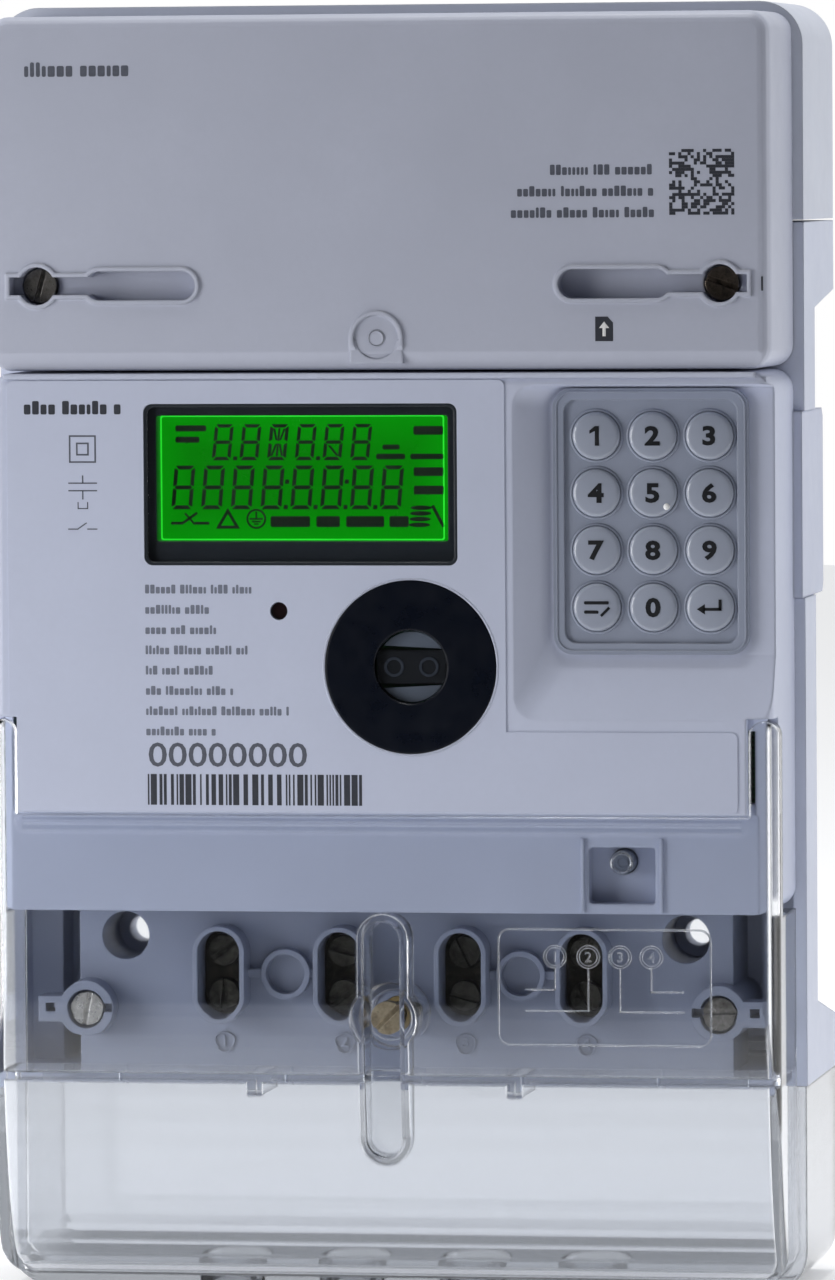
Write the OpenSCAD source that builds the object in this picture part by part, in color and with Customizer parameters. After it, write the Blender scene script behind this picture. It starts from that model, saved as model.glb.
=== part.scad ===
// Wall-mounted prepaid electricity meter with a plug-on communication module.
// Origin: centre of the back face, on the wall. +Z is up and the front looks along -Y.

/* [Case] */
// Overall width of the case
case_w = 152; // [150:1:190]
// Overall depth, from the wall to the front faces
case_d = 66; // [64:0.5:82]
// Depth of the rear half of the case, from the wall to its front rim
base_d = 42; // [40:0.5:44]
// Depth of the cable gap left behind the middle of the case
gap_d = 18; // [8:0.5:19]
// Depth from the wall at which the side walls of the middle part stop
side_d = 27; // [21:0.5:30]
// Thickness of the case walls
wall = 2.5; // [1.8:0.1:3]
// Width of the step between the rear half and the front shells
rim_step = 2; // [1:0.1:3]
// Taper of the front shells on each side
taper = 1; // [0:0.1:1.5]
// Radius of the outer corners of the rear half
case_corner = 8; // [4:0.5:10]
// Radius of the corners of the front shells
front_corner = 4; // [3:0.5:6]
// Radius of the rounded front edge of the shells
front_edge = 2.2; // [1:0.1:3]
// Gap between shells that come apart
seam = 0.4; // [0.3:0.05:0.6]

/* [Heights] */
// Height of the communication module
module_h = 67.4; // [66:0.2:90]
// Height of the part of the module that laps over the meter
lap_h = 27; // [26:0.5:32]
// Height of the label face of the meter cover
face_h = 81.3; // [80:0.1:110]
// Height of the textured strip under the label face
strip_h = 18.4; // [17.5:0.1:24]
// Height of the terminal area
terminal_h = 33.5; // [33:0.1:42]
// Height of the cable chamber at the bottom
tray_h = 39; // [30:0.5:60]

/* [Communication module] */
// Distance of the module screws from the side of the case
module_screw_edge = 12.3; // [12:0.1:16]
// Height of the module screws above the bottom of the module
module_screw_up = 15.7; // [14:0.1:18]
// Length of the wide part of the screw slots
slot_l = 20.8; // [14:0.2:24]
// Width of the wide part of the screw slots
slot_w = 5.4; // [4:0.2:7]
// Width of the narrow part of the screw slots
neck_w = 3.3; // [2:0.1:4]
// Depth of the screw slots
slot_d = 4; // [2:0.5:4.5]
// Width of the raised bead round slots and bosses
bead_w = 0.75; // [0.5:0.05:1]
// Height of the raised bead
bead_h = 0.4; // [0.2:0.05:0.6]
// Radius of the seal boss at the lower edge of the module
seal_boss_r = 5; // [4:0.1:6]

/* [Display] */
// Width of the display window
window_w = 58.7; // [50:0.1:60]
// Height of the display window
window_h = 29.8; // [27:0.1:32]
// Distance of the display window from the left side of the case
window_edge = 32.2; // [20:0.1:34]
// Distance of the display window from the top of the meter cover
window_drop = 5.7; // [4:0.1:8]
// Width of the visible glass
glass_w = 54.6; // [44:0.1:54.8]
// Height of the visible glass
glass_h = 23.2; // [20:0.1:24]
// Depth of the glass behind the front
glass_back = 5; // [4:0.1:6]

/* [Keypad] */
// Distance between key centres
key_pitch = 10.5; // [9.8:0.1:12.6]
// Radius of a key
key_r = 4.45; // [3.6:0.05:4.45]
// Travel of a key
key_travel = 1; // [0.6:0.1:1.2]
// Gap round a key
key_gap = 0.3; // [0.25:0.05:0.35]
// Distance of the outer key column from the right side of the case
key_edge = 14.8; // [14:0.1:18]
// Distance of the upper key row from the top of the meter cover
key_drop = 11.8; // [10:0.1:14]
// Depth of the keypad recess
recess_d = 4.5; // [3.5:0.1:5]

/* [Optical port] */
// Outer radius of the port plate
port_r = 16; // [14:0.5:17]
// Radius of the port window
port_window_r = 6.7; // [5.5:0.1:8]
// Distance between the two infrared diodes
diode_pitch = 6.5; // [5:0.1:7]
// Distance of the port centre to the right of the middle of the case
port_x = 6; // [0:0.5:8]
// Distance of the port centre above the lower edge of the label face
port_up = 27.1; // [20:0.1:30]
// Radius of the pulse lamp hole
lamp_r = 1.65; // [1.2:0.05:2]

/* [Terminals] */
// Distance between conductor centres
terminal_pitch = 22.9; // [19:0.1:27.5]
// Radius of the conductor bores
conductor_r = 4.25; // [3:0.05:5.2]
// Distance of the bores from the wall
conductor_y = 30; // [29:0.5:31]
// Length of a screw well
well_l = 16.5; // [14:0.1:18]
// Width of a screw well
well_w = 8; // [6.5:0.1:9]
// Radius of a clamp screw
clamp_screw_r = 2.9; // [2:0.05:3.1]
// Travel of a clamp screw
clamp_travel = 3.5; // [1:0.1:3.8]
// Height of the well centres above the bottom of the terminal block
well_up = 20.1; // [19:0.1:21]
// Distance of the case screws from the side of the case
case_screw_edge = 16.1; // [15.8:0.1:17]
// Height of the case screws above the bottom of the terminal block
case_screw_up = 13.5; // [12:0.1:15]
// Distance of the wall screws from the side of the case
wall_screw_edge = 22.8; // [22.5:0.1:25]
// Height of the wall screws above the bottom of the terminal block
wall_screw_up = 27; // [26:0.1:27.4]
// Radius of the wall screw holes
wall_screw_r = 2.5; // [2:0.1:2.8]
// Radius of the recess that takes a wall screw head
wall_head_r = 4.5; // [4.2:0.1:4.6]
// Radius of the cable entries under the cable chamber
entry_r = 6.5; // [4:0.1:8]

/* [Terminal cover] */
// Thickness of the clear cover
clear_t = 2.2; // [1.6:0.1:2.4]
// Height of the ears above the top lip of the clear cover
ear_h = 17.7; // [10:0.1:20]
// Depth of the ears
ear_d = 6; // [4:0.1:8]
// Width of the ears on the front
ear_w = 5.4; // [4.5:0.1:7]
// Depth by which the lower edge of the clear cover curves back
bow_d = 16; // [8:0.5:18]
// Width of the screw channel
channel_w = 6.8; // [6.6:0.1:8]
// Gap between the clear cover and the meter
cover_gap = 0.4; // [0.3:0.05:0.6]

/* [Hidden] */
$fn = 48;
eps = 0.01;             // overlap that makes a cut pass cleanly through a face
fit = 0.1;              // radial clearance of a shaft in its bore
clear = 0.3;            // gap between pieces of different bodies
snug = 0.1;             // gap round a piece that is set into another

// Heights of the main levels, from the top down
case_h = module_h + seam + face_h + strip_h + terminal_h + tray_h;
top_z = case_h / 2;
module_z = top_z - module_h;
hood_z = module_z + lap_h;
cover_z = module_z - seam;
lip_z = cover_z - face_h;
strip_z = lip_z - strip_h;
block_z = strip_z - terminal_h;
floor_z = -case_h / 2;

// Depths of the main levels, from the front back
front_y = -case_d;
rim_y = -base_d;
gap_y = -gap_d;
side_y = -side_d;
inner_y = gap_y - wall;

// Half widths
half_w = case_w / 2;
rim_w = half_w - rim_step;
face_w = rim_w - taper;
inner_w = half_w - wall;

// Communication module
module_y = rim_y - clear;
module_screw_x = half_w - module_screw_edge;
module_screw_z = module_z + module_screw_up;
screw_head_r = 3.1;
screw_shank_r = 1.5;
screw_head_h = 2;
head_pocket_r = 3.5;
head_y = front_y + 3;
slot_tab_l = 5.1;
boss_wall = 2.2;
board_t = 1.6;
module_board_y = front_y + 14;
plug_w = 20;
plug_h = 4;
socket_wall = 2;
slot_neck_l = 9.1;
seal_boss_z = module_z + 5.9;
seal_post_r = 3;
sim_x = 34;
sim_z = module_z + 12;
sim_w = 12;
sim_l = 15;
sim_t = 0.76;
sim_lip = 1.6;

// Front label
label_t = 0.2;
label_gap = 1.2;

// Display
window_x = -half_w + window_edge;
window_z = cover_z - window_drop - window_h;
window_r = 1.6;
lens_t = 1.2;
lens_rim = 0.6;
glass_x = window_x + 2.2;
glass_z = window_z + 4.4;
glass_y = front_y + glass_back;
glass_t = 2;
backlight_t = 3;

// Keypad
key_cols = 3;
key_rows = 4;
key_x = half_w - key_edge;
key_z = cover_z - key_drop;
pad_side = 7.2;
pad_edge = 8.7;
pad_x0 = key_x - (key_cols - 1) * key_pitch - key_r - pad_side / 2;
pad_x1 = key_x + pad_side;
pad_z0 = key_z - (key_rows - 1) * key_pitch - pad_edge;
pad_z1 = key_z + pad_edge;
pad_r = 3.6;
pad_rim = 2.1;
recess_y = front_y + recess_d;
recess_slope_x = 6.2;
recess_slope_z = 11.9;
recess_r = 4;
pad_back_y = recess_y + 1.5;
pad_floor_t = 1;
key_flange_r = key_r + 0.55;
key_flange_t = 0.8;
key_dome_h = 1.3;
mat_y = pad_back_y + 3.6;
mat_t = 0.8;

// Optical port
port_z = lip_z + port_up;
port_t = 2.6;
diode_r = 1.5;
lamp_x = port_x - port_r - 8.6;
lamp_z = port_z + port_r - 5.7;

// Main circuit board and what it carries
board_y = rim_y - 5;
board_front_y = board_y + board_t;
relay_x0 = -30;
relay_x1 = 8;
relay_z = strip_z + 12;
relay_h = 30;
relay_d = 15;
bar_y = board_front_y + relay_d + 0.4;
bar_w = 8;
bar_gap = 2;

// Terminals
face_y = rim_y + 2;
well_rim_y = rim_y - 4;
post_y = rim_y - 0.5;
boss_y = rim_y - 3;
block_w = half_w - 14;
well_z = block_z + well_up;
well_wall = 0.9;
clamp_w = 2 * conductor_r + 1.5;
clamp_floor_z = block_z + 2.5;
clamp_front_y = -conductor_y - conductor_r - 4.25;
clamp_back_y = -conductor_y + conductor_r + 0.75;
clamp_screw_gap = 8.5;
clamp_bore_z = well_z + clamp_screw_gap / 2 + clamp_screw_r + 0.9;
clamp_top_z = clamp_bore_z + 1.7;
clamp_screw_l = 6.2;
case_screw_x = half_w - case_screw_edge;
case_screw_z = block_z + case_screw_up;
case_boss_r = 5.2;
case_post_r = 4;
wall_screw_x = half_w - wall_screw_edge;
wall_screw_z = block_z + wall_screw_up;
wall_plate_t = 6;
wall_boss_r = wall_screw_r + 3;

// Terminal cover
clear_w = rim_w;
clear_y = rim_y - clear;
clear_z = floor_z + 3;
clear_top_z = lip_z - cover_gap;
clear_side_z = strip_z - cover_gap;
bow_z = block_z + 20;
clear_edge = 3.3;
clear_corner = case_corner - rim_step;
ear_z = clear_top_z + ear_h;
lip_h = 3.3;
cover_screw_z = case_screw_z + 0.1;
cover_head_y = front_y + 6.4;
cover_shank_r = 1.9;
channel_bottom_z = cover_screw_z - 25.6;
channel_floor_y = cover_head_y + screw_head_h;
channel_wall = 1.2;
channel_top_z = clear_side_z - channel_wall;
cover_boss_r = 6.1;
cover_boss_y = face_y - 6.8;
insert_r = 3;
post_r = 4.2;
strip_y = front_y + clear_t + 1.2;

// Cover switch
switch_x = half_w - 31.3;
switch_z = strip_z + 9.5;
switch_r = 2.2;
switch_travel = 1.2;
switch_box_w = 12.4;
switch_box_h = 10.4;
switch_floor_y = strip_y + 4;

// Cable chamber
tray_w = half_w - 0.2;
tray_top_z = block_z - 0.4 + seam;
hook_x = half_w - 14;
hook_w = 8;
hook_l = 2;

// Hanger
hanger_w = 32;
hanger_h = 23;
hanger_t = 1.5;
hanger_y = -2.4;
hanger_top_z = hood_z - 2.4;
hook_z = hanger_top_z - hanger_h + 6;
hanger_screw_x = 11;
hanger_screw_z = hanger_top_z - 4;
hanger_screw_r = 1.2;
foot_h = 16;
foot_slope = 3;
foot_low_h = 14.6;
foot_low_slope = 4.9;

// Side clips
clip_h = 34.5;
clip_z = cover_z - 8;
clip_y = side_y + 13;
clip_t = 1.9;
clip_x = half_w - clip_t - 0.3;

// ---- Shared shapes ----

// Rectangle with rounded corners in the X-Z plane
module outline(x0, x1, z0, z1, r) {
    if (r <= 0) {
        translate([x0, z0]) square([x1 - x0, z1 - z0]);
    } else {
        translate([x0 + r, z0]) square([x1 - x0 - 2 * r, z1 - z0]);
        translate([x0, z0 + r]) square([x1 - x0, z1 - z0 - 2 * r]);
        for (x = [x0 + r, x1 - r], z = [z0 + r, z1 - r]) translate([x, z]) circle(r);
    }
}

// Extrudes an X-Z outline from depth y0 at the front to depth y1 at the back
module deep(y0, y1) {
    translate([0, y1, 0]) rotate([90, 0, 0]) linear_extrude(y1 - y0) children();
}

// Plate with rounded corners between two depths
module plate(x0, x1, z0, z1, y0, y1, r = 0) {
    deep(y0, y1) outline(x0, x1, z0, z1, r);
}

// Round bar along Y
module rod(x, z, y0, y1, r) {
    translate([x, y1, z]) rotate([90, 0, 0]) cylinder(h = y1 - y0, r = r);
}

// Round tube along Y
module tube(x, z, y0, y1, r, bore) {
    difference() {
        rod(x, z, y0, y1, r);
        rod(x, z, y0 - eps, y1 + eps, bore);
    }
}

// Shell blank that is wider at the back and has a rounded front edge
module soft_box(w0, w1, z0, z1, y0, y1, r, edge) {
    hull() {
        for (a = [0 : 22.5 : 90]) {
            inset = edge * (1 - sin(a));
            y = y0 + edge * (1 - cos(a));
            plate(inset - w0, w0 - inset, z0 + inset, z1 - inset, y, y + eps, max(r - inset, 1),
                $fn = 32);
        }
        plate(-w1, w1, z0, z1, y1 - eps, y1, r, $fn = 32);
    }
}

// Screw with a slotted head whose front is at depth y and whose shank ends at depth end
module slotted_screw(x, z, y, end, head_r, head_h, shank_r, turn) {
    slot_wide = 0.9;
    slot_deep = 1;
    difference() {
        union() {
            rod(x, z, y, y + head_h, head_r);
            rod(x, z, y + head_h - eps, end, shank_r);
        }
        translate([x, y, z]) rotate([0, turn, 0])
            cube([slot_wide, 2 * slot_deep, 3 * head_r], center = true);
    }
}

// Copies children to the right and, mirrored, to the left
module both_sides() {
    children();
    mirror([1, 0, 0]) children();
}

function terminal_x(i) = (i - 1.5) * terminal_pitch;

// ---- Communication module ----

// Keyhole-shaped outline round a module screw, grown outwards by some margin
module keyhole(grow) {
    translate([module_screw_x, module_screw_z]) circle(head_pocket_r + grow);
    slot_end = module_screw_x - slot_neck_l;
    outline(slot_end - 1, module_screw_x + slot_tab_l + grow,
        module_screw_z - neck_w / 2 - grow, module_screw_z + neck_w / 2 + grow, 0);
    outline(slot_end - slot_l - grow, slot_end + grow,
        module_screw_z - slot_w / 2 - grow, module_screw_z + slot_w / 2 + grow,
        slot_w / 2 + grow - eps);
}

module module_cover() {
    bead_y = front_y - bead_h;
    pad_y = front_y + slot_d + wall;
    boss_end = module_y - wall;
    chamfer_h = 3.4;
    chamfer_d = 1.2;
    color("#b9bed2") difference() {
        union() {
            difference() {
                soft_box(face_w, rim_w, module_z, top_z - rim_step, front_y, module_y,
                    front_corner, front_edge);
                plate(-rim_w + wall, rim_w - wall, module_z + wall, top_z - rim_step - wall,
                    front_y + wall, 0, front_corner - 2);
            }
            both_sides() {
                deep(front_y + 1, pad_y) keyhole(wall);
                deep(bead_y, front_y + 1) keyhole(bead_w);
                rod(module_screw_x, module_screw_z, front_y + 1, boss_end, head_pocket_r + boss_wall);
            }
            rod(0, seal_boss_z, bead_y, front_y + 1, seal_boss_r);
            plate(-seal_boss_r, seal_boss_r, module_z + chamfer_h, seal_boss_z, bead_y,
                front_y + 1);
            rod(0, seal_boss_z, front_y + 1, boss_end, seal_post_r);
        }
        both_sides() {
            deep(bead_y - 1, front_y + slot_d) keyhole(0);
            rod(module_screw_x, module_screw_z, bead_y, head_y + screw_head_h, head_pocket_r);
            rod(module_screw_x, module_screw_z, bead_y, 0, screw_shank_r + 0.2);
        }
        rod(0, seal_boss_z, bead_y - 1, front_y + eps, seal_boss_r - bead_w);
        rod(0, seal_boss_z, bead_y - 1, front_y + 4, 1.5);
        rotate([90, 0, 90]) linear_extrude(case_w, center = true)
            polygon([[front_y - 1, module_z - 1], [front_y - 1, module_z + chamfer_h + 2.8],
                [front_y + chamfer_d, module_z], [front_y + chamfer_d, module_z - 1]]);
    }
}

module module_back() {
    color("#b4b9ce") difference() {
        union() {
            plate(-half_w, half_w, hood_z, top_z, module_y, 0, case_corner);
            plate(-half_w, half_w, hood_z, top_z - 2 * case_corner, module_y, 0, 0);
            plate(-rim_w + wall + snug, rim_w - wall - snug, module_z + wall + snug,
                hood_z + wall, module_y - wall, module_y, front_corner - 2);
        }
        plate(-inner_w, inner_w, hood_z + wall, top_z - wall, module_y - wall - 1, -wall,
            case_corner - wall);
        both_sides() rod(module_screw_x, module_screw_z, module_y - wall - 1, module_y + 1,
            screw_shank_r + 0.2);
        plate(-plug_w / 2 - snug, plug_w / 2 + snug, module_screw_z - plug_h / 2 - snug,
            module_screw_z + plug_h / 2 + snug, module_y - wall - 1, module_y + 1);
    }
}

module module_board() {
    side_gap = 19;
    low_gap = 11;
    top_gap = 8;
    color("#1f6b3a") difference() {
        plate(-half_w + side_gap, half_w - side_gap, module_z + low_gap, top_z - top_gap,
            module_board_y, module_board_y + board_t, 1);
        rod(0, seal_boss_z, front_y, 0, 2 * seal_post_r);
    }
}

module cellular_modem() {
    modem_w = 30;
    modem_h = 24;
    modem_t = 3;
    modem_z = hood_z + 4;
    mark_d = 0.4;
    color("#c8ccd2") difference() {
        plate(-modem_w, 0, modem_z, modem_z + modem_h, module_board_y - modem_t, module_board_y, 0.8);
        rod(-modem_w / 2, modem_z + modem_h / 2, module_board_y - modem_t - 1,
            module_board_y - modem_t + mark_d, 1);
    }
}

module module_antenna() {
    arm_w = 3;
    arm_gap = 4;
    arm_l = 22;
    foot_l = 18;
    metal_t = 0.8;
    x0 = 34;
    x1 = x0 + arm_w + arm_gap;
    z0 = hood_z + 6;
    y0 = module_board_y - 6;
    y1 = y0 + metal_t;
    color("#d9a441") union() {
        plate(x0, x0 + foot_l, z0, z0 + arm_w, y0, module_board_y, 0);
        plate(x0, x0 + arm_w, z0, z0 + arm_l, y0, y1, 0);
        plate(x1, x1 + arm_w, z0, z0 + arm_l, y0, y1, 0);
        plate(x0, x1 + arm_w, z0 + arm_l - arm_w, z0 + arm_l, y0, y1, 0);
    }
}

module sim_holder() {
    holder_t = 2.2;
    card_y = module_board_y - sim_lip;
    color("#c8ccd2") difference() {
        plate(sim_x, sim_x + sim_w + 2 * sim_lip, sim_z, sim_z + sim_l + sim_lip,
            module_board_y - holder_t, module_board_y, 0);
        plate(sim_x + sim_lip - snug, sim_x + sim_lip + sim_w + snug, sim_z - 1,
            sim_z + sim_l + snug, card_y - snug, card_y + sim_t + snug, 0);
    }
}

module sim_card() {
    x = sim_x + sim_lip;
    y = module_board_y - sim_lip;
    color("#e8e4da") plate(x, x + sim_w, sim_z, sim_z + sim_l, y, y + sim_t, 0);
}

module module_plug() {
    pins = 8;
    pin_w = 0.6;
    pin_pitch = 2;
    plug_end = module_y + 4;
    color("#26282c") union() {
        plate(-plug_w / 2, plug_w / 2, module_screw_z - plug_h / 2, module_screw_z + plug_h / 2,
            module_board_y + board_t, plug_end - 1, 0);
        for (i = [0 : pins - 1]) {
            x = (i - (pins - 1) / 2) * pin_pitch;
            plate(x - pin_w / 2, x + pin_w / 2, module_screw_z - pin_w / 2,
                module_screw_z + pin_w / 2, plug_end - 1 - eps, plug_end, 0);
        }
    }
}

module module_screw(side, turn) {
    color("#5c564e") slotted_screw(side * module_screw_x, module_screw_z, head_y, rim_y + 5,
        screw_head_r, screw_head_h, screw_shank_r, turn);
}

// ---- Case ----

// Outline of a foot in the Y-Z plane, between heights z0 and z1, with a sloping inner edge
module foot(z_out, z_in, slope) {
    rotate([90, 0, 90]) linear_extrude(case_w, center = true)
        polygon([[side_y - 3, z_in], [side_y, z_in], [0, z_in + slope], [0, z_out],
            [side_y - 3, z_out]]);
}

module base_case() {
    base_top = hood_z - seam;
    base_low = block_z;
    shelf_z = cover_z - wall;
    narrow_w = half_w - 6;
    color("#b4b9ce") difference() {
        union() {
            plate(-half_w, half_w, base_low, base_top, rim_y, side_y, 0);
            plate(-narrow_w, narrow_w, base_low, base_top, side_y - 1, gap_y, 3);
            foot(base_top, base_top - foot_h, foot_slope);
            foot(base_low, base_low + foot_low_h, -foot_low_slope);
        }
        // Main cavity, open at the front below the module
        difference() {
            plate(-inner_w, inner_w, base_low + wall, shelf_z, rim_y - 1, side_y - wall, 1);
            both_sides() case_post();
            both_sides() plate(clip_x - wall, half_w, clip_z - clip_h - wall, clip_z + wall,
                rim_y, side_y, 0);
        }
        difference() {
            plate(-narrow_w + wall, narrow_w - wall, base_low + wall, shelf_z,
                side_y - wall - eps, inner_y, 1);
            both_sides() case_post();
            both_sides() rod(wall_screw_x, wall_screw_z, gap_y - wall_plate_t, gap_y,
                wall_boss_r);
        }
        // Space behind the module seat
        plate(-narrow_w + wall, narrow_w - wall, shelf_z - 1, base_top - wall, rim_y + wall,
            inner_y, 1);
        // Hollow feet, with a solid pad under the hanger plate
        difference() {
            plate(-narrow_w + wall, narrow_w - wall, base_top - foot_h + foot_slope + wall,
                base_top - wall, inner_y - 1, -wall, 0);
            plate(-hanger_w / 2, hanger_w / 2, base_top - foot_h, base_top, hanger_y - 4, 0, 0);
        }
        plate(-narrow_w + wall, narrow_w - wall, base_low + wall,
            base_low + foot_low_h - foot_low_slope - wall, inner_y - 1, -wall, 0);
        // Seats of the side clips
        both_sides() plate(clip_x - snug, half_w + 1, clip_z - clip_h - snug, clip_z + snug,
            rim_y - 1, side_y + 1, 0);
        // Wall screws, case screws and module nuts
        both_sides() {
            rod(wall_screw_x, wall_screw_z, rim_y, 1, wall_screw_r);
            rod(case_screw_x, case_screw_z, rim_y, side_y + 4, screw_shank_r + fit);
            rod(module_screw_x, module_screw_z, rim_y - 1, rim_y + wall + 1, insert_r + snug);
        }
        // Module socket
        plate(-plug_w / 2 - socket_wall, plug_w / 2 + socket_wall,
            module_screw_z - plug_h / 2 - socket_wall, module_screw_z + plug_h / 2 + socket_wall,
            rim_y - 1, rim_y + wall + 1, 0);
        // Way down for the conductors
        plate(-block_w - snug, block_w + snug, base_low - 1, base_low + wall + 1, rim_y - 1,
            inner_y, 0);
        // Seat of the hanger plate and its screws
        plate(-hanger_w / 2 - snug, hanger_w / 2 + snug, base_top - foot_h - 1,
            hanger_top_z + snug, hanger_y, 1, 0);
        both_sides() rod(hanger_screw_x, hanger_screw_z, hanger_y - 3.6, 0, hanger_screw_r);
        // Seats of the cable tray hooks
        both_sides() plate(hook_x - hook_w / 2 - 2 * snug, hook_x + hook_w / 2 + 2 * snug,
            base_low - 1, base_low + wall + 1, -wall - 3 - hook_l - 1, -wall, 0);
    }
}

// Post that takes a case screw
module case_post() {
    rod(case_screw_x, case_screw_z, face_y + 6, gap_y - eps, case_post_r);
}

module cable_tray() {
    top = block_z - snug;
    x0 = hook_x - hook_w / 2;
    x1 = hook_x + hook_w / 2;
    hook_top = block_z + wall + 1.6;
    hook_y = -wall - 3;
    color("#dfe8ee", 0.3) difference() {
        union() {
            plate(-tray_w, tray_w, floor_z, top, rim_y, 0, case_corner);
            plate(-tray_w, tray_w, top - 2 * case_corner, top, rim_y, 0, 0);
            both_sides() {
                plate(x0, x1, top - 3, hook_top, hook_y, hook_y + 1.5, 0);
                plate(x0, x1, block_z + wall + snug, hook_top, hook_y - hook_l, hook_y + eps, 0);
            }
        }
        difference() {
            plate(wall - tray_w, tray_w - wall, floor_z + wall, top + 1, rim_y - 1, -wall,
                case_corner - wall);
            both_sides() plate(x0, x1, top - 3, top + 2, hook_y, -wall + 1, 0);
        }
        plate(wall - tray_w, tray_w - wall, top - case_corner, top + 1, rim_y - 1, hook_y - snug, 0);
        for (i = [0 : 3]) translate([terminal_x(i), -conductor_y, floor_z - 1])
            cylinder(h = wall + 2, r = entry_r);
    }
}

// Cut that forms the keypad recess, with sloping left and lower sides
module keypad_recess() {
    left = pad_x0 - 0.7;
    right = half_w + 5;
    top = pad_z1 + 0.8;
    hull() {
        plate(left - recess_slope_x, right, pad_z0 - recess_slope_z, top, front_y - eps, front_y,
            recess_r);
        plate(left, right, pad_z0 - snug, top - 0.6, recess_y - eps, recess_y, recess_r);
    }
    plate(left - recess_slope_x, right, pad_z0 - recess_slope_z, top, front_y - 1, front_y,
        recess_r);
}

// Corner notch for an ear of the clear cover, seen from above
module ear_notch() {
    inner_x = rim_w - ear_w - cover_gap;
    side_x = rim_w - clear_t - cover_gap;
    front = front_y + clear_t + cover_gap;
    back = front_y + ear_d + cover_gap;
    chamfer = min(0.65 * clear_edge, ear_w - clear_t - eps);
    polygon([[inner_x, front_y - 1], [inner_x, front], [side_x - chamfer, front],
        [side_x, front + chamfer], [side_x, back], [case_w, back], [case_w, front_y - 1]]);
}

module front_cover() {
    color("#aab0c6") difference() {
        union() {
            difference() {
                soft_box(face_w, rim_w, strip_z, cover_z, front_y, rim_y, front_corner,
                    front_edge);
                plate(-rim_w + wall + 2, rim_w - wall - 2, strip_z + wall, cover_z - wall,
                    front_y + wall, rim_y - 2, 1);
                plate(-rim_w + wall, rim_w - wall, strip_z + wall, cover_z - wall,
                    strip_y + wall, rim_y + 1, 1);
            }
            // Walls behind the keypad recess and the strip
            difference() {
                plate(pad_x0 - recess_slope_x - 3, rim_w - 2, pad_z0 - recess_slope_z - 2,
                    cover_z - 1, front_y + 1, pad_back_y, 0);
                plate(pad_x0 - recess_slope_x - 4, pad_x0 - 3, pad_z0 - recess_slope_z - 3,
                    cover_z - wall, recess_y, pad_back_y + 1, 0);
            }
            plate(-rim_w + wall, rim_w - wall, strip_z + 1, lip_z + 2, strip_y, strip_y + wall, 0);
            plate(switch_x - switch_box_w / 2 - 1.3, switch_x + switch_box_w / 2 + 1.3,
                strip_z + 1, lip_z, strip_y, switch_floor_y + wall, 0);
            // Side clips that hook over the rear half
            both_sides() clip();
        }
        keypad_recess();
        // Rebate for the clear cover, and corner notches for its ears
        plate(-case_w, case_w, strip_z - 1, lip_z, front_y - 1, strip_y, 0);
        both_sides() translate([0, 0, strip_z - 1]) linear_extrude(ear_z + cover_gap - strip_z + 1)
            ear_notch();
        // Display, port and lamp
        plate(window_x, window_x + window_w, window_z, window_z + window_h, front_y - 1,
            front_y + wall + 1, window_r);
        rod(port_x, port_z, front_y - 1, front_y + wall + 1, port_r + snug);
        rod(lamp_x, lamp_z, front_y - 1, front_y + wall + 1, lamp_r);
        // Opening under the keypad
        plate(pad_x0 + pad_rim, pad_x1 - pad_rim, pad_z0 + pad_rim, pad_z1 - pad_rim,
            front_y, pad_back_y + 1, 1);
        // Recess of the cover switch
        plate(switch_x - switch_box_w / 2, switch_x + switch_box_w / 2,
            switch_z - switch_box_h + 2.8, switch_z + 2.8, strip_y - 1, switch_floor_y, 0.8);
        rod(switch_x, switch_z, strip_y, switch_floor_y + wall + 1, switch_r + 0.2);
    }
}

// Tongue on the side of the meter cover that snaps over the rear half
module clip() {
    chamfer = 1.6;
    barb = 1.2;
    barb_l = 4;
    root_l = 1.4;
    translate([clip_x, 0, 0]) rotate([90, 0, 90]) linear_extrude(clip_t)
        polygon([[rim_y - 1, clip_z], [clip_y - chamfer, clip_z], [clip_y, clip_z - chamfer],
            [clip_y, clip_z - clip_h + chamfer], [clip_y - chamfer, clip_z - clip_h],
            [rim_y - 1, clip_z - clip_h]]);
    plate(rim_w - 1, clip_x + clip_t, clip_z - clip_h, clip_z, rim_y - root_l, rim_y, 0);
    translate([0, 0, clip_z - clip_h]) linear_extrude(clip_h)
        polygon([[clip_x + eps, side_y + snug], [clip_x - barb, side_y + snug],
            [clip_x + eps, side_y + barb_l]]);
}

module front_label() {
    label_x0 = -face_w + front_edge + label_gap;
    label_x1 = pad_x0 - recess_slope_x - 2.2;
    label_x2 = face_w - ear_w - 1;
    color("#a9afc4") difference() {
        union() {
            plate(label_x0, label_x1, lip_z + 0.4, cover_z - 1.4, front_y - label_t, front_y, 1.2);
            plate(label_x1 - 4, label_x2, lip_z + 0.4, pad_z0 - recess_slope_z - 2.2,
                front_y - label_t, front_y, 1.2);
        }
        plate(window_x, window_x + window_w, window_z, window_z + window_h, front_y - 1,
            front_y + 1, window_r);
        rod(port_x, port_z, front_y - 1, front_y + 1, port_r + snug);
        rod(lamp_x, lamp_z, front_y - 1, front_y + 1, lamp_r);
        plate(-case_w, -rim_w + ear_w + cover_gap, strip_z, ear_z + cover_gap,
            front_y - 1, front_y + 1, 0);
    }
}

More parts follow.
